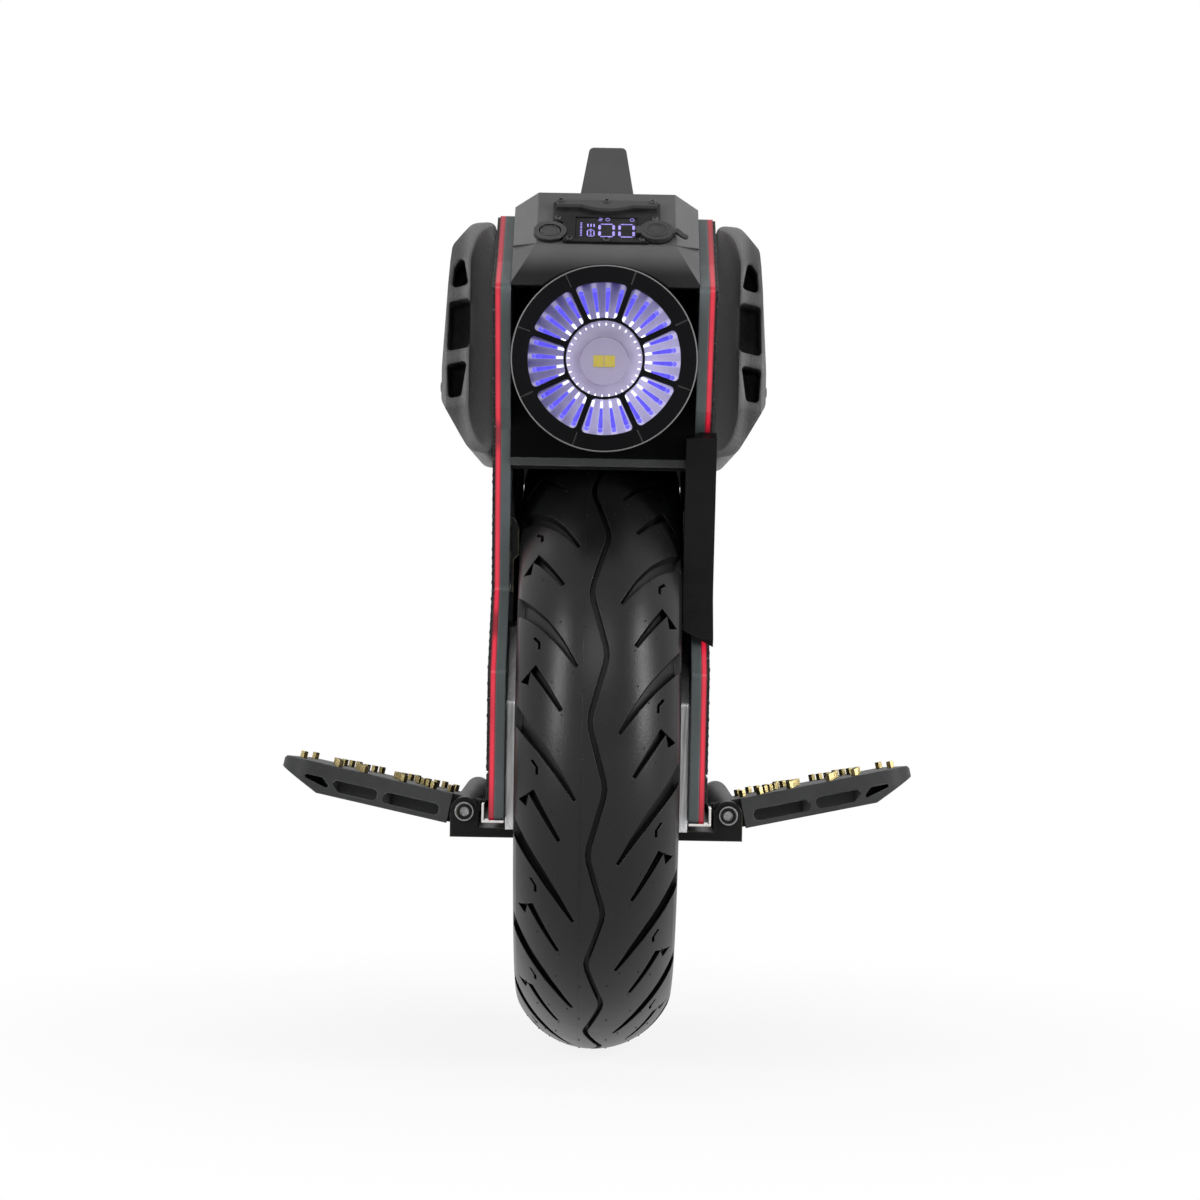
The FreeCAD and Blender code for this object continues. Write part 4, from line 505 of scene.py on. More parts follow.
def tail_mask(tree, place, axes):
    cells = add(tree, "ShaderNodeTexVoronoi", feature="F1")
    cells.inputs["Scale"].default_value = TAIL_LENS_SCALE
    cells.inputs["Randomness"].default_value = 0.0
    join(tree, place, cells.inputs["Vector"])
    return ramp(tree, cells.outputs["Distance"], 0.15, 0.6, 1.0, 0.0)


finishes["light_red"] = glow("light_red", STRIP_DIM, STRIP_RED, strip_mask, 0.72, body=STRIP_UNLIT)
finishes["tail_red"] = glow(
    "tail_red", (0.16, 0.004, 0.01), (0.5, 0.012, 0.03), tail_mask, strength=0.12, rough=0.12)
print("strips ready")

# %% [markdown]
# ## Clear covers
# The lamp's window and lens are thin clear polycarbonate. A full glass value bends and mirrors too
# much for such a thin cover and veils what lies behind, so the bending is set low. A faint smear in
# the roughness keeps it from looking perfect.

# %% Clear covers
COVER_TINT = (0.97, 0.97, 1.0)
COVER_BENDING = 1.2
COVER_SMEAR = (0.01, 0.07)


def build_clear_cover():
    material, tree, shader = start_material("clear_glass")
    feed(tree, COVER_TINT, shader.inputs["Base Color"])
    shader.inputs["Transmission Weight"].default_value = 1.0
    shader.inputs["IOR"].default_value = COVER_BENDING
    smear = ramp(tree, noise(tree, 60.0, 4.0, 0.6), 0.45, 0.75, *COVER_SMEAR)
    join(tree, smear, shader.inputs["Roughness"])
    return material


finishes["clear_glass"] = build_clear_cover()
print("clear covers ready")

# %% [markdown]
# ## Lamp ring and emitter
# The ring of small lamps behind the windows shines blue-violet, and the main emitter shows its two
# yellow dies when it is off. The board is no lamp: its glow is painted light, the rays and haze that the
# small lamps throw on it, with one side painted paler. The off emitter's faint glow is painted light too,
# the violet light of the ring on it. A picture could give the rays on the board, but a mask drawn from
# the distance and the angle round the lamp's axis stays sharp at any size.

# %% Lamp ring and emitter
LAMP_Z = 0.442
LAMP_SECTORS = 8
LEDS_PER_SECTOR = 4
SPOKE_START = math.radians(25.8)
LED_COUNT = LAMP_SECTORS * LEDS_PER_SECTOR
LED_STEP = 2 * math.pi / LED_COUNT
WHOLE_TURNS = 64.0
RAY_WIDTH = (0.05, 0.3)
HAZE_REACH = (0.024, 0.05)
PALE_SIDE = (-0.03, 0.05)
PALE_SLANT = 0.7
DIE_HALF_WIDTH = 0.0064
DIE_HALF_HEIGHT = 0.0034
DIE_FRONT = -0.1731


def above_lamp(tree, axes):
    return math_node(tree, "SUBTRACT", axes["Z"], LAMP_Z)


def board_mask(tree, place, axes):
    """Share of painted light on the board: a painted ray per small lamp, painted haze near the middle,
    clouds and one paler side.
    """
    rise = above_lamp(tree, axes)
    angle = math_node(tree, "ARCTAN2", rise, axes["X"])
    turns = math_node(tree, "DIVIDE", math_node(tree, "SUBTRACT", angle, SPOKE_START), LED_STEP)
    phase = math_node(tree, "FRACT", math_node(tree, "ADD", turns, WHOLE_TURNS))
    streak = math_node(tree, "ABSOLUTE", math_node(tree, "SUBTRACT", phase, 0.5))
    ray = ramp(tree, streak, *RAY_WIDTH, 0.5, 0.0)
    haze = ramp(tree, hypotenuse(tree, axes["X"], rise), *HAZE_REACH, 0.25, 0.0)
    cloud = ramp(tree, noise(tree, 55.0, 4.0, 0.6, place), 0.4, 0.7, 0.0, 0.16)
    slant = math_node(tree, "SUBTRACT", axes["X"], math_node(tree, "MULTIPLY", rise, PALE_SLANT))
    pale_side = ramp(tree, slant, *PALE_SIDE, 0.02, 0.6)
    rays = math_node(tree, "ADD", ray, haze)
    return math_node(tree, "ADD", rays, math_node(tree, "ADD", cloud, pale_side), clamp=True)


def die_mask(tree, place, axes):
    across = math_node(tree, "ABSOLUTE", axes["X"])
    upward = math_node(tree, "ABSOLUTE", above_lamp(tree, axes))
    limits = ((across, DIE_HALF_WIDTH), (upward, DIE_HALF_HEIGHT), (axes["Y"], DIE_FRONT))
    return multiply_all(tree, *[math_node(tree, "LESS_THAN", value, limit) for value, limit in limits])


# The board glows with painted light: the small lamps' rays and haze on it.
finishes["led_board"] = glow(
    "led_board", (0.012, 0.004, 0.13), (0.6, 0.56, 0.86), board_mask, strength=0.85,
    body=(0.015, 0.012, 0.05))
# The emitter is off; its glow is painted light from the ring round it.
finishes["emitter_yellow"] = glow(
    "emitter_yellow", (0.3, 0.27, 0.38), (0.45, 0.36, 0.03), die_mask, strength=0.3, rough=0.35)
print("lamp finishes ready,", LED_COUNT, "small lamps")

# %% [markdown]
# ## Hook-and-loop finish
# The outside of each side plate carries a black hook-and-loop layer that knee pads stick to. Close
# up it is a field of tiny loops with pale flecks where the yarn catches light. Hair strands would be
# heavy at this size, so a cell pattern gives the loops and a sparse speckle the flecks.

# %% Hook-and-loop finish
LOOP_SCALE = 620.0
FLECK_SCALE = 700.0
FLECKS = (0.62, 0.72)
FABRIC_SHEEN = 0.12


def build_hook_fabric():
    material, tree, shader = start_material("hook_fabric")
    place = object_place(tree)
    loops = add(tree, "ShaderNodeTexVoronoi")
    loops.inputs["Scale"].default_value = LOOP_SCALE
    join(tree, place, loops.inputs["Vector"])
    depth = loops.outputs["Distance"]
    flecks = ramp(tree, noise(tree, FLECK_SCALE, 2.0, 0.5, place), *FLECKS)
    colour = blend_colour(tree, depth, (0.012, 0.014, 0.014), (0.005, 0.006, 0.006))
    colour = blend_colour(tree, flecks, colour, (0.12, 0.15, 0.15))
    join(tree, colour, shader.inputs["Base Color"])
    join(tree, ramp(tree, depth, 0.0, 0.7, 0.7, 0.95), shader.inputs["Roughness"])
    shader.inputs["Sheen Weight"].default_value = FABRIC_SHEEN
    add_relief(tree, shader, depth, strength=0.9, depth_mm=0.6)
    return material


finishes["hook_fabric"] = build_hook_fabric()
print("hook-and-loop ready")

# %% [markdown]
# ## Finishes of single nodes
# Some nodes differ a little from their slot: the crossbars are greyer, the wall behind the lamp is
# deep black, and the brow, the bezel, the pins, the clip and the handle have shades of their own. The
# wall's black is darker and duller than black plastic as painted shade in the recess under the lamp,
# and the clip's pale golden corners are partly wear and partly a painted highlight along its edges. A
# new slot for each would split the record, so they only get another material here.

# %% Finishes of single nodes
own_finish = {
    "crossbars": finish(
        "crossbar_grey", base=(0.031, 0.033, 0.033), second=(0.044, 0.046, 0.046), rough=(0.34, 0.46),
        grain=1300.0, bump_mm=0.06, edge_mm=1.0, worn=(0.16, 0.16, 0.16), wear=0.8, specular=0.2),
    # Blacker and duller than the black plastic: painted shade in the recess under the lamp.
    "lamp_bulkhead": finish(
        "black_with_painted_shade", base=(0.0015, 0.0015, 0.0017), second=(0.0025, 0.0025, 0.0028), rough=(0.6, 0.75),
        grain=900.0, bump_mm=0.1, edge_mm=1.0, worn=(0.01, 0.01, 0.01), specular=0.03),
    "front_brow": finish(
        "brow_plastic", base=(0.1, 0.1, 0.101), second=(0.124, 0.124, 0.125), rough=(0.42, 0.52),
        grain=1500.0, bump_mm=0.08, edge_mm=1.4, worn=(0.13, 0.13, 0.132), specular=0.08),
    "display_bezel": finish(
        "bezel_plastic", base=(0.006, 0.006, 0.0063), second=(0.009, 0.009, 0.0094), rough=(0.36, 0.46),
        grain=1500.0, bump_mm=0.04, edge_mm=0.8, worn=(0.05, 0.05, 0.052), specular=0.12),
    "hinge_pins": brushed(
        "pin_steel", base=(0.3, 0.3, 0.305), second=(0.2, 0.2, 0.205), rough=(0.28, 0.42),
        stretch=(900.0, 60.0, 900.0), edge_mm=0.6),
    # Pale golden worn corners: partly wear, partly a painted highlight along the clip's edges.
    "cable_clip": finish(
        "clip_plastic", base=(0.006, 0.006, 0.0065), second=(0.01, 0.01, 0.0105), rough=(0.36, 0.5),
        grain=1100.0, bump_mm=0.1, edge_mm=1.6, worn=(0.5, 0.46, 0.32), wear=1.0, specular=0.12),
    "carry_handle": finish(
        "handle_plastic", base=(0.047, 0.047, 0.048), second=(0.061, 0.061, 0.062), rough=(0.38, 0.48),
        grain=1500.0, bump_mm=0.08, edge_mm=1.4, worn=(0.12, 0.12, 0.122), specular=0.3),
}
print("own finishes", sorted(own_finish))

# %% [markdown]
# ## Tones within one piece
# Three pieces change their tone over their own surface. The brow's front darkens to its lip, which is
# painted shade where the brow turns in above the lamp. The hood of the display is paler than the bezel
# it stands on. The inner cheeks of the bumpers are paler as well, which is painted light on faces the
# lamps barely reach. Separate meshes would need cuts in the CAD, so the colour is blended by place
# instead.

# %% Tones within one piece
PANEL_SLOPE = math.radians(41.4)
PANEL_LOW = Vector((0.0, -0.172, 0.513))
BEZEL_STAND = 0.002
HOOD_RISE = (0.0004, 0.0012)
BROW_LIP = (0.492, 0.511)
CHEEK_REACH = (0.084, 0.092)
TONE_SHARE = 0.9
SIDE_FACES = (0.15, 0.3)


def blend_base(material, share, colour):
    tree = material.node_tree
    target = tree.nodes["Principled BSDF"].inputs["Base Color"]
    join(tree, blend_colour(tree, share, target.links[0].from_socket, colour), target)


def tone_along(material, axis, low, high, colour, front_only=False):
    """Blend to another colour below a distance along an axis, measured both ways from zero."""
    tree = material.node_tree
    distance = math_node(tree, "ABSOLUTE", split_axes(tree, object_place(tree))[axis])
    share = ramp(tree, distance, low, high, TONE_SHARE, 0.0)
    if front_only:
        normal = add(tree, "ShaderNodeNewGeometry").outputs["True Normal"]
        sideways = math_node(tree, "ABSOLUTE", split_axes(tree, normal)["X"])
        share = math_node(tree, "MULTIPLY", share, ramp(tree, sideways, *SIDE_FACES, 1.0, 0.0))
    blend_base(material, share, colour)


def tone_above(material, normal, low, high, colour):
    """Blend to another colour where the piece stands proud of a plane."""
    tree = material.node_tree
    height = add(tree, "ShaderNodeVectorMath", operation="DOT_PRODUCT")
    join(tree, object_place(tree), height.inputs[0])
    height.inputs[1].default_value = normal
    blend_base(material, ramp(tree, height.outputs["Value"], low, high), colour)


panel_normal = Vector((0.0, -math.sin(PANEL_SLOPE), math.cos(PANEL_SLOPE)))
bezel_face = PANEL_LOW.dot(panel_normal) + BEZEL_STAND
hood_low, hood_high = (bezel_face + rise for rise in HOOD_RISE)
tone_above(own_finish["display_bezel"], panel_normal, hood_low, hood_high, (0.066, 0.066, 0.067))
# The brow's front faces darken towards the lip: painted shade.
tone_along(own_finish["front_brow"], "Z", *BROW_LIP, (0.006, 0.006, 0.0065), front_only=True)
# The bumpers' inner cheeks are painted paler: painted light where the lamps barely reach.
tone_along(finishes["bumper_grey"], "X", *CHEEK_REACH, (0.2, 0.2, 0.203))
print("toned brow, hood and cheeks")

# %% [markdown]
# ## Dress the CAD nodes
# Materials could be dragged onto the pieces one by one. The record already says which material slot
# each node has, so one loop puts the finish of that slot, or the node's own finish, on it.

# %% Dress the CAD nodes
for row in frame["record"]["subparts"]:
    node_mesh = nodes[row["node"]].data
    node_mesh.materials.clear()
    node_mesh.materials.append(own_finish.get(row["node"]) or finishes[row["material_slot"]])

# %% [markdown]
# ## Mesh helpers
# The small pieces could be modelled by hand, but mesh code keeps their sizes in view. From here on,
# profiles and outlines are in millimetres. One helper turns a profile about an axis, one makes a slab
# over a flat outline, and one completes a piece: it smooths it, gives it its material and says which
# body it rides on.

# %% Mesh helpers
SMOOTH_ANGLE = math.radians(35.0)
TINY = 1e-9


def new_piece(name, mesh_data, slot, body, material=None):
    bmesh.ops.recalc_face_normals(mesh_data, faces=mesh_data.faces)
    mesh = bpy.data.meshes.new(name)
    mesh_data.to_mesh(mesh)
    mesh_data.free()
    mesh.shade_smooth()
    mesh.set_sharp_from_angle(angle=SMOOTH_ANGLE)
    piece = bpy.data.objects.new(name, mesh)
    scene.collection.objects.link(piece)
    mesh.materials.append(material or finishes[slot])
    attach(piece, body)
    print(name, len(mesh.polygons), "faces on", body)
    return piece


def shift(x_mm, y_mm, z_mm):
    return Matrix.Translation(Vector((x_mm, y_mm, z_mm)) * MM)


def turn_profile(target, profile, place, steps, size=1.0):
    """Turn (radius, height) points about the Z axis of a placing matrix."""
    rings = []
    for radius, height in profile:
        up = height * MM * size
        if radius < TINY:
            rings.append([target.verts.new(place @ Vector((0, 0, up)))])
            continue
        out = radius * MM * size
        angles = [2 * math.pi * index / steps for index in range(steps)]
        points = [Vector((out * math.cos(angle), out * math.sin(angle), up)) for angle in angles]
        rings.append([target.verts.new(place @ point) for point in points])
    for lower, upper in zip(rings, rings[1:]):
        for index in range(steps):
            after = (index + 1) % steps
            corners = [lower[index % len(lower)], lower[after % len(lower)],
                       upper[after % len(upper)], upper[index % len(upper)]]
            unique = list(dict.fromkeys(corners))
            if len(unique) > 2:
                target.faces.new(unique)


def add_slab(target, outline, place, low, high, inset=0.0):
    """Closed prism over a flat outline; the top may be drawn in for a soft edge."""
    centre = sum((Vector((x, y, 0)) for x, y in outline), Vector()) / len(outline)
    levels = [(low, 0.0), (high - inset, 0.0), (high, inset)] if inset else [(low, 0.0), (high, 0.0)]
    rings = []
    for height, draw in levels:
        ring = []
        for x, y in outline:
            away = Vector((x, y, 0)) - centre
            shrink = max(0.0, 1.0 - draw / max(away.length, TINY))
            point = centre + away * shrink
            ring.append(target.verts.new(place @ (Vector((point.x, point.y, height)) * MM)))
        rings.append(ring)
    count = len(outline)
    for lower, upper in zip(rings, rings[1:]):
        for index in range(count):
            after = (index + 1) % count
            target.faces.new([lower[index], lower[after], upper[after], upper[index]])
    target.faces.new(rings[0][::-1])
    target.faces.new(rings[-1])


print("mesh helpers ready")

# %% [markdown]
# ## Display signs
# The panel slopes so that it reads from behind the machine, and its signs are upside down from the
# front. Two large digits of bar segments, a charge symbol and rows of ticks glow violet. A picture on
# the pane would blur close up, so the signs are thin raised bars on the dark pane.

# %% Display signs
SCREEN_FACE = 1.4
SIGN_HEIGHT = 0.12
ZERO = ("top", "bottom", "left_high", "left_low", "right_high", "right_low")
TWO = ("top", "right_high", "middle", "left_low", "bottom")
LARGE = dict(low=6.6, high=20.0, width=0.95, upright=1.6)
SMALL = dict(low=23.6, high=26.4, width=0.45, upright=0.45)
DIGITS = [(-4.2, 4.4, ZERO, LARGE), (8.0, 16.6, ZERO, LARGE), (-4.8, -2.6, TWO, SMALL),
          (-0.4, 1.8, ZERO, SMALL), (14.6, 16.8, ZERO, SMALL)]
TICKS = [(-16.6, 7.4 + 1.7 * step, -14.4, 7.4 + 1.7 * step) for step in range(9)]
CELL_FRAME = [(-11.6, 7.0, -7.6, 7.0), (-11.6, 13.4, -7.6, 13.4), (-11.6, 7.0, -11.6, 13.4),
              (-7.6, 7.0, -7.6, 13.4), (-10.4, 14.4, -8.8, 14.4)]
CELL_LEVELS = [(-10.6, 8.6 + 1.6 * step, -8.6, 8.6 + 1.6 * step) for step in range(3)]
UPRIGHTS = [(-11.4 + 1.9 * step, 16.4, -11.4 + 1.9 * step, 20.6) for step in range(3)]
panel_place = Matrix.Translation(PANEL_LOW) @ Matrix.Rotation(PANEL_SLOPE, 4, "X")
sign_bars = bmesh.new()


def sign_bar(x0, y0, x1, y1, width):
    """Bar with pointed ends between two points of the pane."""
    start = Vector((x0, y0, 0))
    end = Vector((x1, y1, 0))
    run = (end - start).normalized()
    side = Vector((-run.y, run.x, 0)) * width / 2
    tip = run * width / 2
    start = start + tip
    end = end - tip
    outline = [start, start + tip - side, end - tip - side, end, end - tip + side, start + tip + side]
    flat = [(point.x, point.y) for point in outline]
    add_slab(sign_bars, flat, panel_place, SCREEN_FACE, SCREEN_FACE + SIGN_HEIGHT)


def sign_digit(left, right, lit, low, high, width, upright):
    """Seven-bar digit with its own widths for level and upright bars; lit names the bars that glow."""
    middle = (low + high) / 2
    bars = {
        "top": (left, high, right, high), "bottom": (left, low, right, low),
        "middle": (left, middle, right, middle),
        "left_high": (left, middle, left, high), "left_low": (left, low, left, middle),
        "right_high": (right, middle, right, high), "right_low": (right, low, right, middle),
    }
    for name in lit:
        is_upright = bars[name][0] == bars[name][2]
        sign_bar(*bars[name], upright if is_upright else width)


def even_mask(tree, place, axes):
    return ramp(tree, noise(tree, 420.0, 2.0, 0.5, place), 0.2, 0.6)


for left, right, lit, sizes in DIGITS:
    sign_digit(left, right, lit, **sizes)
for bars, width in ((TICKS, 0.8), (CELL_FRAME, 0.7), (CELL_LEVELS, 0.9), (UPRIGHTS, 0.8)):
    for bar in bars:
        sign_bar(*bar, width)
sign_glow = glow(
    "sign_glow", (0.17, 0.13, 0.48), (0.3, 0.25, 0.68), even_mask, strength=0.75, rough=0.4)
new_piece("display_signs", sign_bars, "screen_glass", "chassis", sign_glow)

# %% [markdown]
# ## Display screws
# Eight small button-head screws with six-sided sockets hold the bezel. A dark dot in the material
# would pass from afar, but turned heads catch the light as the real ones do.

# %% Display screws
SCREWS = [(-28.4, 40.0, 5.0), (0.0, 40.0, 5.0), (28.4, 40.0, 5.0), (-29.8, 25.0, 2.0), (29.8, 25.4, 2.0),
          (-22.6, 3.4, 2.0), (0.0, 2.6, 2.0), (21.8, 3.4, 2.0)]
SCREW_HEAD = [(0.0, 0.0), (2.2, 0.0), (2.2, 0.35), (1.95, 0.8), (1.5, 1.05), (1.15, 1.1)]
SCREW_SOCKET = [(1.15, 1.1), (1.05, 0.4), (0.0, 0.35)]
SOCKET_LIP = [(1.15, 1.1), (1.0, 1.1)]
HEAD_STEPS = 20
SOCKET_SIDES = 6


def panel_at(x_mm, up_mm, out_mm):
    return panel_place @ shift(x_mm, up_mm, out_mm)


def socket_screw(target, place, size=1.0):
    """Button-head screw with a six-sided socket; place's Z axis points out of the surface."""
    turn_profile(target, SCREW_HEAD, place, HEAD_STEPS, size)
    turn_profile(target, SCREW_SOCKET, place, SOCKET_SIDES, size)
    turn_profile(target, SOCKET_LIP, place, SOCKET_SIDES, size)


screws = bmesh.new()
for spot in SCREWS:
    socket_screw(screws, panel_at(*spot))
dark_screw = finish(
    "dark_screw", base=(0.03, 0.03, 0.031), second=(0.05, 0.05, 0.051), rough=(0.28, 0.4),
    grain=900.0, bump_mm=0.03, edge_mm=0.4, worn=(0.4, 0.4, 0.4), wear=0.9, metal=0.7)
new_piece("display_screws", screws, "bracket_black", "chassis", dark_screw)

# %% [markdown]
# ## Charge cap and power button
# The rubber cap over the charge port has raised rings on top that help the thumb. They could be bump,
# but they show in the outline when the cap is open, so they are mesh, and ride on the cap. The button
# has a thin bead round its face that travels with it.

# %% Cap rings and button bead
CAP_CENTRE = (30.7, 11.0, 0.0)
BUTTON_CENTRE = (-34.4, 11.0, 0.0)
RING_STEPS = 48


def flat_ring(target, place, radius, width, low, high):
    inner = radius - width / 2
    outer = radius + width / 2
    soft = width / 4
    profile = [(inner, low), (inner, high - soft), (inner + soft, high), (outer - soft, high),
               (outer, high - soft), (outer, low)]
    turn_profile(target, profile, place, RING_STEPS)


cap_ring = bmesh.new()
flat_ring(cap_ring, panel_at(*CAP_CENTRE), radius=6.6, width=0.9, low=4.2, high=4.75)
flat_ring(cap_ring, panel_at(*CAP_CENTRE), radius=4.4, width=0.5, low=4.2, high=4.5)
new_piece("charge_cap_ring", cap_ring, "cap_rubber", "charge_cap")
button_bead = bmesh.new()
flat_ring(button_bead, panel_at(*BUTTON_CENTRE), radius=5.2, width=0.6, low=2.1, high=2.5)
new_piece("power_button_bead", button_bead, "button_plastic", "power_button")

# %% [markdown]
# ## Lamp internals
# Behind each of the eight windows stand four small lamps on the board. Each has a round dome near the
# rim, a long light guide towards the centre and a short bright tip. A short glowing dash at the edge of
# the centre lens is a painted reflection of each tip. The pattern on the board alone would look flat
# through the clear window, so these are small solid pieces.

# %% Lamp internals
BOARD_FACE = -0.182
DOME_REACH = 42.5
DOME = [(1.5, 0.0), (1.45, 0.7), (1.1, 1.3), (0.6, 1.6), (0.0, 1.7)]
DOME_STEPS = 12
GUIDE = dict(r0=29.6, r1=41.0, w0=1.7, w1=2.9, height=1.1)
TIP = dict(r0=25.2, r1=28.6, w0=1.3, w1=1.6, height=1.6)
# Glowing dashes at the centre lens's edge: a painted reflection of each small lamp's tip.
TIP_REFLECTION = dict(r0=20.6, r1=21.8, w0=0.7, w1=0.9, height=0.5)
BAR_POINT = 0.3
BAR_SOFT_EDGE = 0.25
lamp_place = Matrix.Translation((0.0, BOARD_FACE, LAMP_Z)) @ Matrix.Rotation(math.pi / 2, 4, "X")
domes = bmesh.new()
guides = bmesh.new()
tips = bmesh.new()
tip_reflections = bmesh.new()


def lamp_turned(angle):
    return lamp_place @ Matrix.Rotation(angle, 4, "Z")


def radial_bar(target, angle, r0, r1, w0, w1, height):
    """Bar with pointed ends along a radius of the lamp, from one radius and width to another."""
    outline = [(r0, -w0 / 2), (r1, -w1 / 2), (r1 + BAR_POINT, 0.0), (r1, w1 / 2), (r0, w0 / 2),
               (r0 - BAR_POINT, 0.0)]
    add_slab(target, outline, lamp_turned(angle), 0.0, height, BAR_SOFT_EDGE)


for index in range(LED_COUNT):
    lamp_angle = SPOKE_START + LED_STEP * (index + 0.5)
    turn_profile(domes, DOME, lamp_turned(lamp_angle) @ shift(DOME_REACH, 0.0, 0.0), DOME_STEPS)
    radial_bar(guides, lamp_angle, **GUIDE)
    radial_bar(tips, lamp_angle, **TIP)
    radial_bar(tip_reflections, lamp_angle, **TIP_REFLECTION)

guide_glow = glow(
    "guide_glow", (0.03, 0.02, 0.55), (0.085, 0.06, 0.95), even_mask, strength=0.95,
    body=(0.04, 0.03, 0.2))
dome_glow = glow(
    "dome_glow", (0.05, 0.035, 0.9), (0.17, 0.15, 1.0), even_mask, strength=1.0, rough=0.25,
    body=(0.06, 0.05, 0.3))
tip_glow = glow("tip_glow", (0.62, 0.66, 1.0), (0.9, 0.93, 1.0), even_mask, strength=1.3)
new_piece("lamp_domes", domes, "led_board", "chassis", dome_glow)
new_piece("lamp_guides", guides, "led_board", "chassis", guide_glow)
new_piece("lamp_tips", tips, "led_board", "chassis", tip_glow)
# Painted reflections of the tips, glowing like the tips themselves.
new_piece("lamp_tip_reflections", tip_reflections, "led_board", "chassis", tip_glow)

# %% [markdown]
# ## Lamp bowl
# Round the main lens lies a bowl that throws the light of the main emitter forwards. A mirror finish
# would show the dark housing, while the real one looks pale violet from the ring beside it, so it
# has a weak glow of its own that grows to the rim.

# %% Lamp bowl
BOWL = [(22.4, -1.6), (22.4, -2.2), (20.5, -4.0), (18.0, -6.2), (15.2, -8.4), (14.2, -9.0), (14.2, -9.6),
        (16.0, -9.4), (18.8, -7.0), (21.2, -4.8), (22.7, -3.0), (22.7, -1.6), (22.4, -1.6)]
BOWL_STEPS = 64
BOWL_REACH = (0.014, 0.0225)
bowl = bmesh.new()
turn_profile(bowl, BOWL, lamp_place, BOWL_STEPS)


def bowl_mask(tree, place, axes):
    rim = ramp(tree, hypotenuse(tree, axes["X"], above_lamp(tree, axes)), *BOWL_REACH, 0.3, 0.8)
    cloud = ramp(tree, noise(tree, 70.0, 3.0, 0.5, place), 0.3, 0.7, -0.15, 0.2)
    return math_node(tree, "ADD", rim, cloud, clamp=True)


bowl_glow = glow(
    "bowl_glow", (0.23, 0.2, 0.31), (0.5, 0.46, 0.6), bowl_mask, strength=0.2, rough=0.18)
new_piece("lamp_bowl", bowl, "led_board", "chassis", bowl_glow)

# %% [markdown]
# ## Lamp rim
# A thin pale line runs round the lamp's rim, and fainter lines lie in the groove at each spoke. Both
# are painted highlights, of the rim's edge and of the groove edges. Edge wear in the material comes
# and goes with the light, so both are fine trim of their own.

# %% Lamp rim
# Pale bead round the rim: a painted highlight of the rim's edge.
RIM_HIGHLIGHT = [(55.4, 12.9), (55.5, 13.15), (55.9, 13.25), (56.2, 13.0), (56.15, 12.6), (55.9, 12.4), (55.4, 12.9)]
RIM_HIGHLIGHT_STEPS = 128
# Pale lines in the spoke grooves: painted highlights of the groove edges.
SPOKE_LINE = [(47.2, -0.22), (55.3, -0.22), (55.3, 0.22), (47.2, 0.22)]
LINE_LOW = 12.6
LINE_HIGH = 13.06
rim_highlight = bmesh.new()
turn_profile(rim_highlight, RIM_HIGHLIGHT, lamp_place, RIM_HIGHLIGHT_STEPS)
rim_highlight_grey = finish(
    "rim_highlight_grey", base=(0.13, 0.13, 0.132), second=(0.19, 0.19, 0.192), rough=(0.4, 0.5),
    grain=1200.0, bump_mm=0.03, edge_mm=0.2, worn=(0.3, 0.3, 0.3), specular=0.3)
new_piece("lamp_rim_highlight", rim_highlight, "steel", "chassis", rim_highlight_grey)

spoke_highlights = bmesh.new()
for sector in range(LAMP_SECTORS):
    line_place = lamp_turned(SPOKE_START + 2 * math.pi * sector / LAMP_SECTORS)
    add_slab(spoke_highlights, SPOKE_LINE, line_place, LINE_LOW, LINE_HIGH)
spoke_highlight_grey = finish(
    "spoke_highlight_grey", base=(0.04, 0.04, 0.041), second=(0.06, 0.06, 0.061), rough=(0.4, 0.5),
    grain=1200.0, bump_mm=0.03, edge_mm=0.2, worn=(0.1, 0.1, 0.1), specular=0.2)
new_piece("lamp_spoke_highlights", spoke_highlights, "steel", "chassis", spoke_highlight_grey)

# %% [markdown]
# ## Cover screws and corner plugs
# The bumpers are screwed on from the outside and the rear cover from behind, with larger heads of the
# same kind as on the display. Where the rear cover meets the cap, a small plug closes each corner. It
# is the hull of a few points, which needs no list of faces.

# %% Cover screws and corner plugs
BUMPER_SCREWS = [(101.9, 431.0, 0.0), (97.2, 500.0, 0.08)]
BUMPER_SCREW_REACH = 85.0
BUMPER_SCREW_SIZE = 1.9
REAR_SCREWS = [(44.0, 157.8, 432.0), (44.0, 183.4, 478.0)]
REAR_FACE = (0.0, 0.874, -0.486)
REAR_SCREW_SIZE = 1.4
PLUG_FACE = [(42.3, 172.0, 513.0), (56.8, 158.5, 513.0), (56.8, 166.2, 506.4), (56.8, 181.5, 496.2)]
PLUG_BACK = [(56.8, 158.0, 497.0), (46.0, 158.0, 506.0), (46.0, 170.0, 500.0)]


def facing(point, normal):
    """Placing matrix at a point, with its Z axis along a normal."""
    return shift(*point) @ Vector(normal).normalized().to_track_quat("Z", "Y").to_matrix().to_4x4()


cover_screws = bmesh.new()
for side in (-1, 1):
    for along in (-BUMPER_SCREW_REACH, BUMPER_SCREW_REACH):
        for out, up, lift in BUMPER_SCREWS:
            spot = facing((side * out, along, up), (side, 0.0, lift))
            socket_screw(cover_screws, spot, BUMPER_SCREW_SIZE)
    for out, back, up in REAR_SCREWS:
        socket_screw(cover_screws, facing((side * out, back, up), REAR_FACE), REAR_SCREW_SIZE)
new_piece("cover_screws", cover_screws, "bracket_black", "chassis", dark_screw)

plugs = bmesh.new()
for side in (-1, 1):
    corners = [plugs.verts.new(Vector((side * x, y, z)) * MM) for x, y, z in PLUG_FACE + PLUG_BACK]
    bmesh.ops.convex_hull(plugs, input=corners)
new_piece("rear_corner_plugs", plugs, "cap_plastic", "chassis")

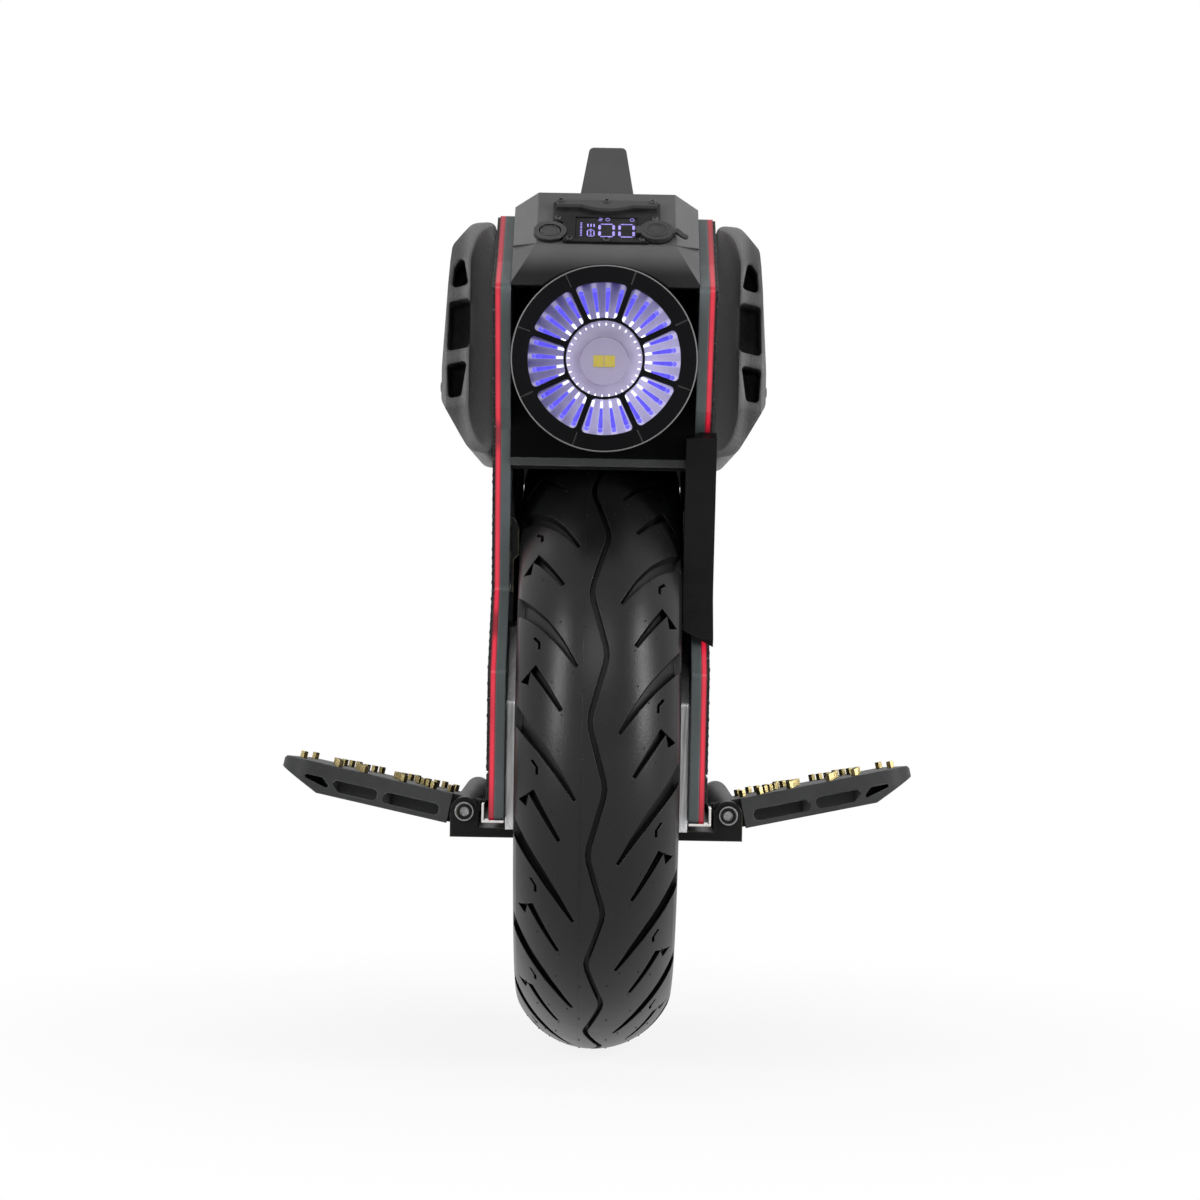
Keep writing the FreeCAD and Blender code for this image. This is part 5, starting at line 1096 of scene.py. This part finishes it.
# %% [markdown]
# ## Hinge pin faces
# The head of each hinge pin is turned bright at its rim and blackened inside. Paint by place would
# need a mask for each pin. A thin dark washer on the head is simpler, and leaves the bright rim and
# the six-sided socket open.

# %% Hinge pin faces
PIN_X = 83.3
PIN_Z = 162.3
PIN_FACE_Y = -108.0
PIN_WASHER = [(2.9, 0.0), (2.9, 0.2), (3.1, 0.3), (4.9, 0.3), (5.1, 0.2), (5.1, 0.0), (2.9, 0.0)]
WASHER_STEPS = 40
washers = bmesh.new()
for side in (-1, 1):
    spot = shift(side * PIN_X, PIN_FACE_Y, PIN_Z) @ Matrix.Rotation(math.pi / 2, 4, "X")
    turn_profile(washers, PIN_WASHER, spot, WASHER_STEPS)
new_piece("pin_face_washers", washers, "bracket_black", "chassis")

# %% [markdown]
# ## Tyre mould marks
# A new tyre still carries the marks of its mould: short rubber pips from the vent holes and a fine
# seam where the halves met. Scattering pips by chance would look like dirt, so they sit in the same
# places in every pitch of the tread. All of them ride on the wheel.

# %% Tyre pips and seam
TREAD_PITCHES = 16
PITCH_DEG = 360.0 / TREAD_PITCHES
RIGHT_LAG_DEG = 11.2
FOREMOST_DEG = 90.0
PIP_SPOTS = [(23.6, 0.2), (30.4, 2.9), (16.0, 9.4), (27.9, 10.8), (35.2, 13.4), (21.6, 16.6), (42.5, 8.6),
             (8.6, 1.5), (8.6, 12.4)]
PIP = [(0.62, -0.3), (0.56, 0.25), (0.3, 0.42), (0.0, 0.45)]
PIP_STEPS = 8
SEAM_X = -9.4
SEAM = [(-0.3, -0.25), (0.12, -0.12), (0.12, 0.12), (-0.3, 0.25), (-0.3, -0.25)]
SEAM_STEPS = 180
hub_place = Matrix.Translation((0.0, 0.0, TYRE_RADIUS))
crown_centre = TYRE_RADIUS - CROWN_RADIUS
pips = bmesh.new()


def add_pip(side, across_mm, degrees):
    """One pip at a distance from the tyre's middle and an angle below the foremost point."""
    lean = side * math.asin(across_mm * MM / CROWN_RADIUS)
    spot = hub_place @ Matrix.Rotation(math.radians(FOREMOST_DEG + degrees), 4, "X")
    spot = spot @ Matrix.Translation((0.0, 0.0, crown_centre))
    spot = spot @ Matrix.Rotation(lean, 4, "Y") @ Matrix.Translation((0.0, 0.0, CROWN_RADIUS))
    turn_profile(pips, PIP, spot, PIP_STEPS)


for pitch in range(TREAD_PITCHES):
    for across_mm, degrees in PIP_SPOTS:
        add_pip(-1, across_mm, pitch * PITCH_DEG + degrees)
        add_pip(1, across_mm, pitch * PITCH_DEG + degrees + RIGHT_LAG_DEG)
new_piece("tyre_pips", pips, "tyre_rubber", "wheel")

seam = bmesh.new()
seam_radius = crown_centre / MM + math.sqrt((CROWN_RADIUS / MM) ** 2 - SEAM_X ** 2)
seam_profile = [(seam_radius + out, SEAM_X + across) for out, across in SEAM]
turn_profile(seam, seam_profile, hub_place @ Matrix.Rotation(math.pi / 2, 4, "Y"), SEAM_STEPS)
new_piece("tyre_seam", seam, "tyre_rubber", "wheel")

# %% [markdown]
# ## Hook-and-loop fields
# The CAD has plain layers for the hook-and-loop tape. Bump alone would leave their edges hard, so here
# each layer becomes a thin sheet with soft edges and rows of small loop tufts on its open face, cut to
# the same outline. The tufts stand a little out of line, as sewn loops do.

# %% Hook-and-loop fields
PLATE_FRONT = [(116.0, 537.0), (161.0, 503.0), (190.0, 485.0), (151.0, 414.0), (139.0, 401.0),
               (113.0, 303.0), (156.0, 252.0), (148.0, 160.0)]
TAPE_INSET = 8.3
TAPE_STRIPS = [(172.0, 188.0), (190.0, 383.0), (385.0, 537.0)]
TAPE_INNER_X = 66.5
TAPE_BACK = 2.0
TAPE_SOFT_EDGE = 0.35
TUFT_PITCH = 5.2
TUFT_MARGIN = 2.5
TUFT_STRAY = 0.6
TUFT_RISE = (0.25, 0.48)
TUFT_FOOT = 1.5
TUFT_SHOULDER = 1.2
TUFT_SUNK = 0.2
TUFT_DOME = 0.12
TUFT_STEPS = 6
tuft_draw = random.Random(11)


def tape_reach(z):
    """How far the tape reaches to the front and rear at a height."""
    for (reach_high, z_high), (reach_low, z_low) in zip(PLATE_FRONT, PLATE_FRONT[1:]):
        if z_low <= z <= z_high:
            share = (z - z_low) / (z_high - z_low)
            return reach_low + share * (reach_high - reach_low) - TAPE_INSET
    return PLATE_FRONT[0][0] - TAPE_INSET


def tape_outline(low, high):
    heights = [low] + [z for reach, z in PLATE_FRONT[::-1] if low < z < high] + [high]
    front = [(-tape_reach(z), z) for z in heights]
    return front + [(-y, z) for y, z in front[::-1]]


def build_tape(side):
    sheet = bmesh.new()
    face_out = Matrix(((0, 0, side, 0), (1, 0, 0, 0), (0, 1, 0, 0), (0, 0, 0, 1)))
    for low, high in TAPE_STRIPS:
        outer = TAPE_INNER_X + TAPE_BACK
        add_slab(sheet, tape_outline(low, high), face_out, TAPE_INNER_X, outer, TAPE_SOFT_EDGE)
    low, high = TAPE_STRIPS[1]
    for row in range(int((high - low) / TUFT_PITCH)):
        z = low + TUFT_PITCH * (row + 0.5)
        reach = tape_reach(z) - TUFT_MARGIN
        for column in range(int(2 * reach / TUFT_PITCH)):
            y = -reach + TUFT_PITCH * (column + 0.25 + 0.5 * (row % 2))
            y += tuft_draw.uniform(-TUFT_STRAY, TUFT_STRAY)
            up = z + tuft_draw.uniform(-TUFT_STRAY, TUFT_STRAY)
            height = TAPE_BACK + tuft_draw.uniform(*TUFT_RISE)
            tuft = [(TUFT_FOOT, TAPE_BACK - TUFT_SUNK), (TUFT_SHOULDER, height - TUFT_DOME), (0.0, height)]
            turn_profile(sheet, tuft, face_out @ shift(y, up, TAPE_INNER_X), TUFT_STEPS)
    return sheet


for side_name, side in (("left", -1), ("right", 1)):
    tape = new_piece("hook_tape_" + side_name, build_tape(side), "hook_fabric", "chassis")
    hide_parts("side_pad_" + side_name)

# %% [markdown]
# ## Floor
# The studio is plain: one wide white floor. More light would make it white but would bleach the
# machine, so the floor shows almost white to the camera and in reflections, and still takes the
# shadow, which fades with distance.

# %% Floor
FLOOR_HALF = 12.0
FLOOR_WHITE = (0.9, 0.9, 0.9)
SHADOW_REACH = (0.1, 0.6)
SHADOW_WHITE = (0.86, 1.0)
floor_mesh = bpy.data.meshes.new("studio_floor")
floor_data = bmesh.new()
bmesh.ops.create_grid(floor_data, x_segments=1, y_segments=1, size=FLOOR_HALF)
floor_data.to_mesh(floor_mesh)
floor_data.free()
floor = bpy.data.objects.new("studio_floor", floor_mesh)
scene.collection.objects.link(floor)
floor_material, floor_tree, floor_shader = start_material("studio_floor")
feed(floor_tree, FLOOR_WHITE, floor_shader.inputs["Base Color"])
floor_shader.inputs["Roughness"].default_value = 0.9
floor_shader.inputs["Specular IOR Level"].default_value = 0.1
white = add(floor_tree, "ShaderNodeEmission")
white.inputs["Strength"].default_value = 1.0
rays = add(floor_tree, "ShaderNodeLightPath").outputs
floor_reach = add(floor_tree, "ShaderNodeVectorMath", operation="LENGTH")
join(floor_tree, object_place(floor_tree), floor_reach.inputs[0])
far_share = ramp(floor_tree, floor_reach.outputs["Value"], *SHADOW_REACH, *SHADOW_WHITE)
white_share = math_node(floor_tree, "MULTIPLY", rays["Is Camera Ray"], far_share)
white_share = math_node(floor_tree, "MAXIMUM", white_share, rays["Is Transmission Ray"])
white_share = math_node(floor_tree, "MAXIMUM", white_share, rays["Is Glossy Ray"])
floor_mix = add(floor_tree, "ShaderNodeMixShader")
join(floor_tree, white_share, floor_mix.inputs["Fac"])
join(floor_tree, floor_shader.outputs[0], floor_mix.inputs[1])
join(floor_tree, white.outputs[0], floor_mix.inputs[2])
join(floor_tree, floor_mix.outputs[0], floor_tree.nodes["Material Output"].inputs["Surface"])
floor_mesh.materials.append(floor_material)
print("floor ready")

# %% [markdown]
# ## World and lamps
# Soft lamps stand at the left, the right and the front, and two behind draw the slanted facets. A
# single lamp would leave one side black. The world is white to the camera and in reflections, and
# gives only a dim fill to everything else, so that colours look about as they are written.

# %% World and lamps
WORLD_FILL = 0.25
AIM = Vector((0.0, 0.0, 0.3))
SOFTBOXES = {
    "key_left": dict(place=(-1.45, -1.2, 0.75), size=(0.3, 1.3), watts=17.0),
    "fill_right": dict(place=(1.7, -1.05, 0.8), size=(0.34, 1.4), watts=25.0),
    "front": dict(place=(0.0, -2.5, 1.75), size=(1.8, 0.9), watts=12.5),
    "side_left": dict(place=(-1.3, 0.8, 1.9), size=(0.9, 0.9), watts=4.5),
    "side_right": dict(place=(1.3, 0.8, 1.9), size=(0.9, 0.9), watts=4.5),
}


def softbox(name, place, size, watts):
    light = bpy.data.lights.new(name, "AREA")
    light.shape = "RECTANGLE"
    light.size, light.size_y = size
    light.energy = watts
    lamp = bpy.data.objects.new(name, light)
    lamp.location = place
    lamp.rotation_euler = (AIM - Vector(place)).to_track_quat("-Z", "Y").to_euler()
    scene.collection.objects.link(lamp)


world = bpy.data.worlds.new("studio")
scene.world = world
world.use_nodes = True
sky = world.node_tree
backdrop = sky.nodes["Background"]
feed(sky, (1.0, 1.0, 1.0), backdrop.inputs["Color"])
seen = add(sky, "ShaderNodeLightPath").outputs
direct = math_node(sky, "MAXIMUM", seen["Is Camera Ray"], seen["Is Transmission Ray"])
direct = math_node(sky, "MAXIMUM", direct, seen["Is Glossy Ray"])
join(sky, ramp(sky, direct, 0.0, 1.0, WORLD_FILL, 1.0), backdrop.inputs["Strength"])
for name, values in SOFTBOXES.items():
    softbox(name, **values)
scene.view_settings.view_transform = "Standard"
print("lamps", list(SOFTBOXES))
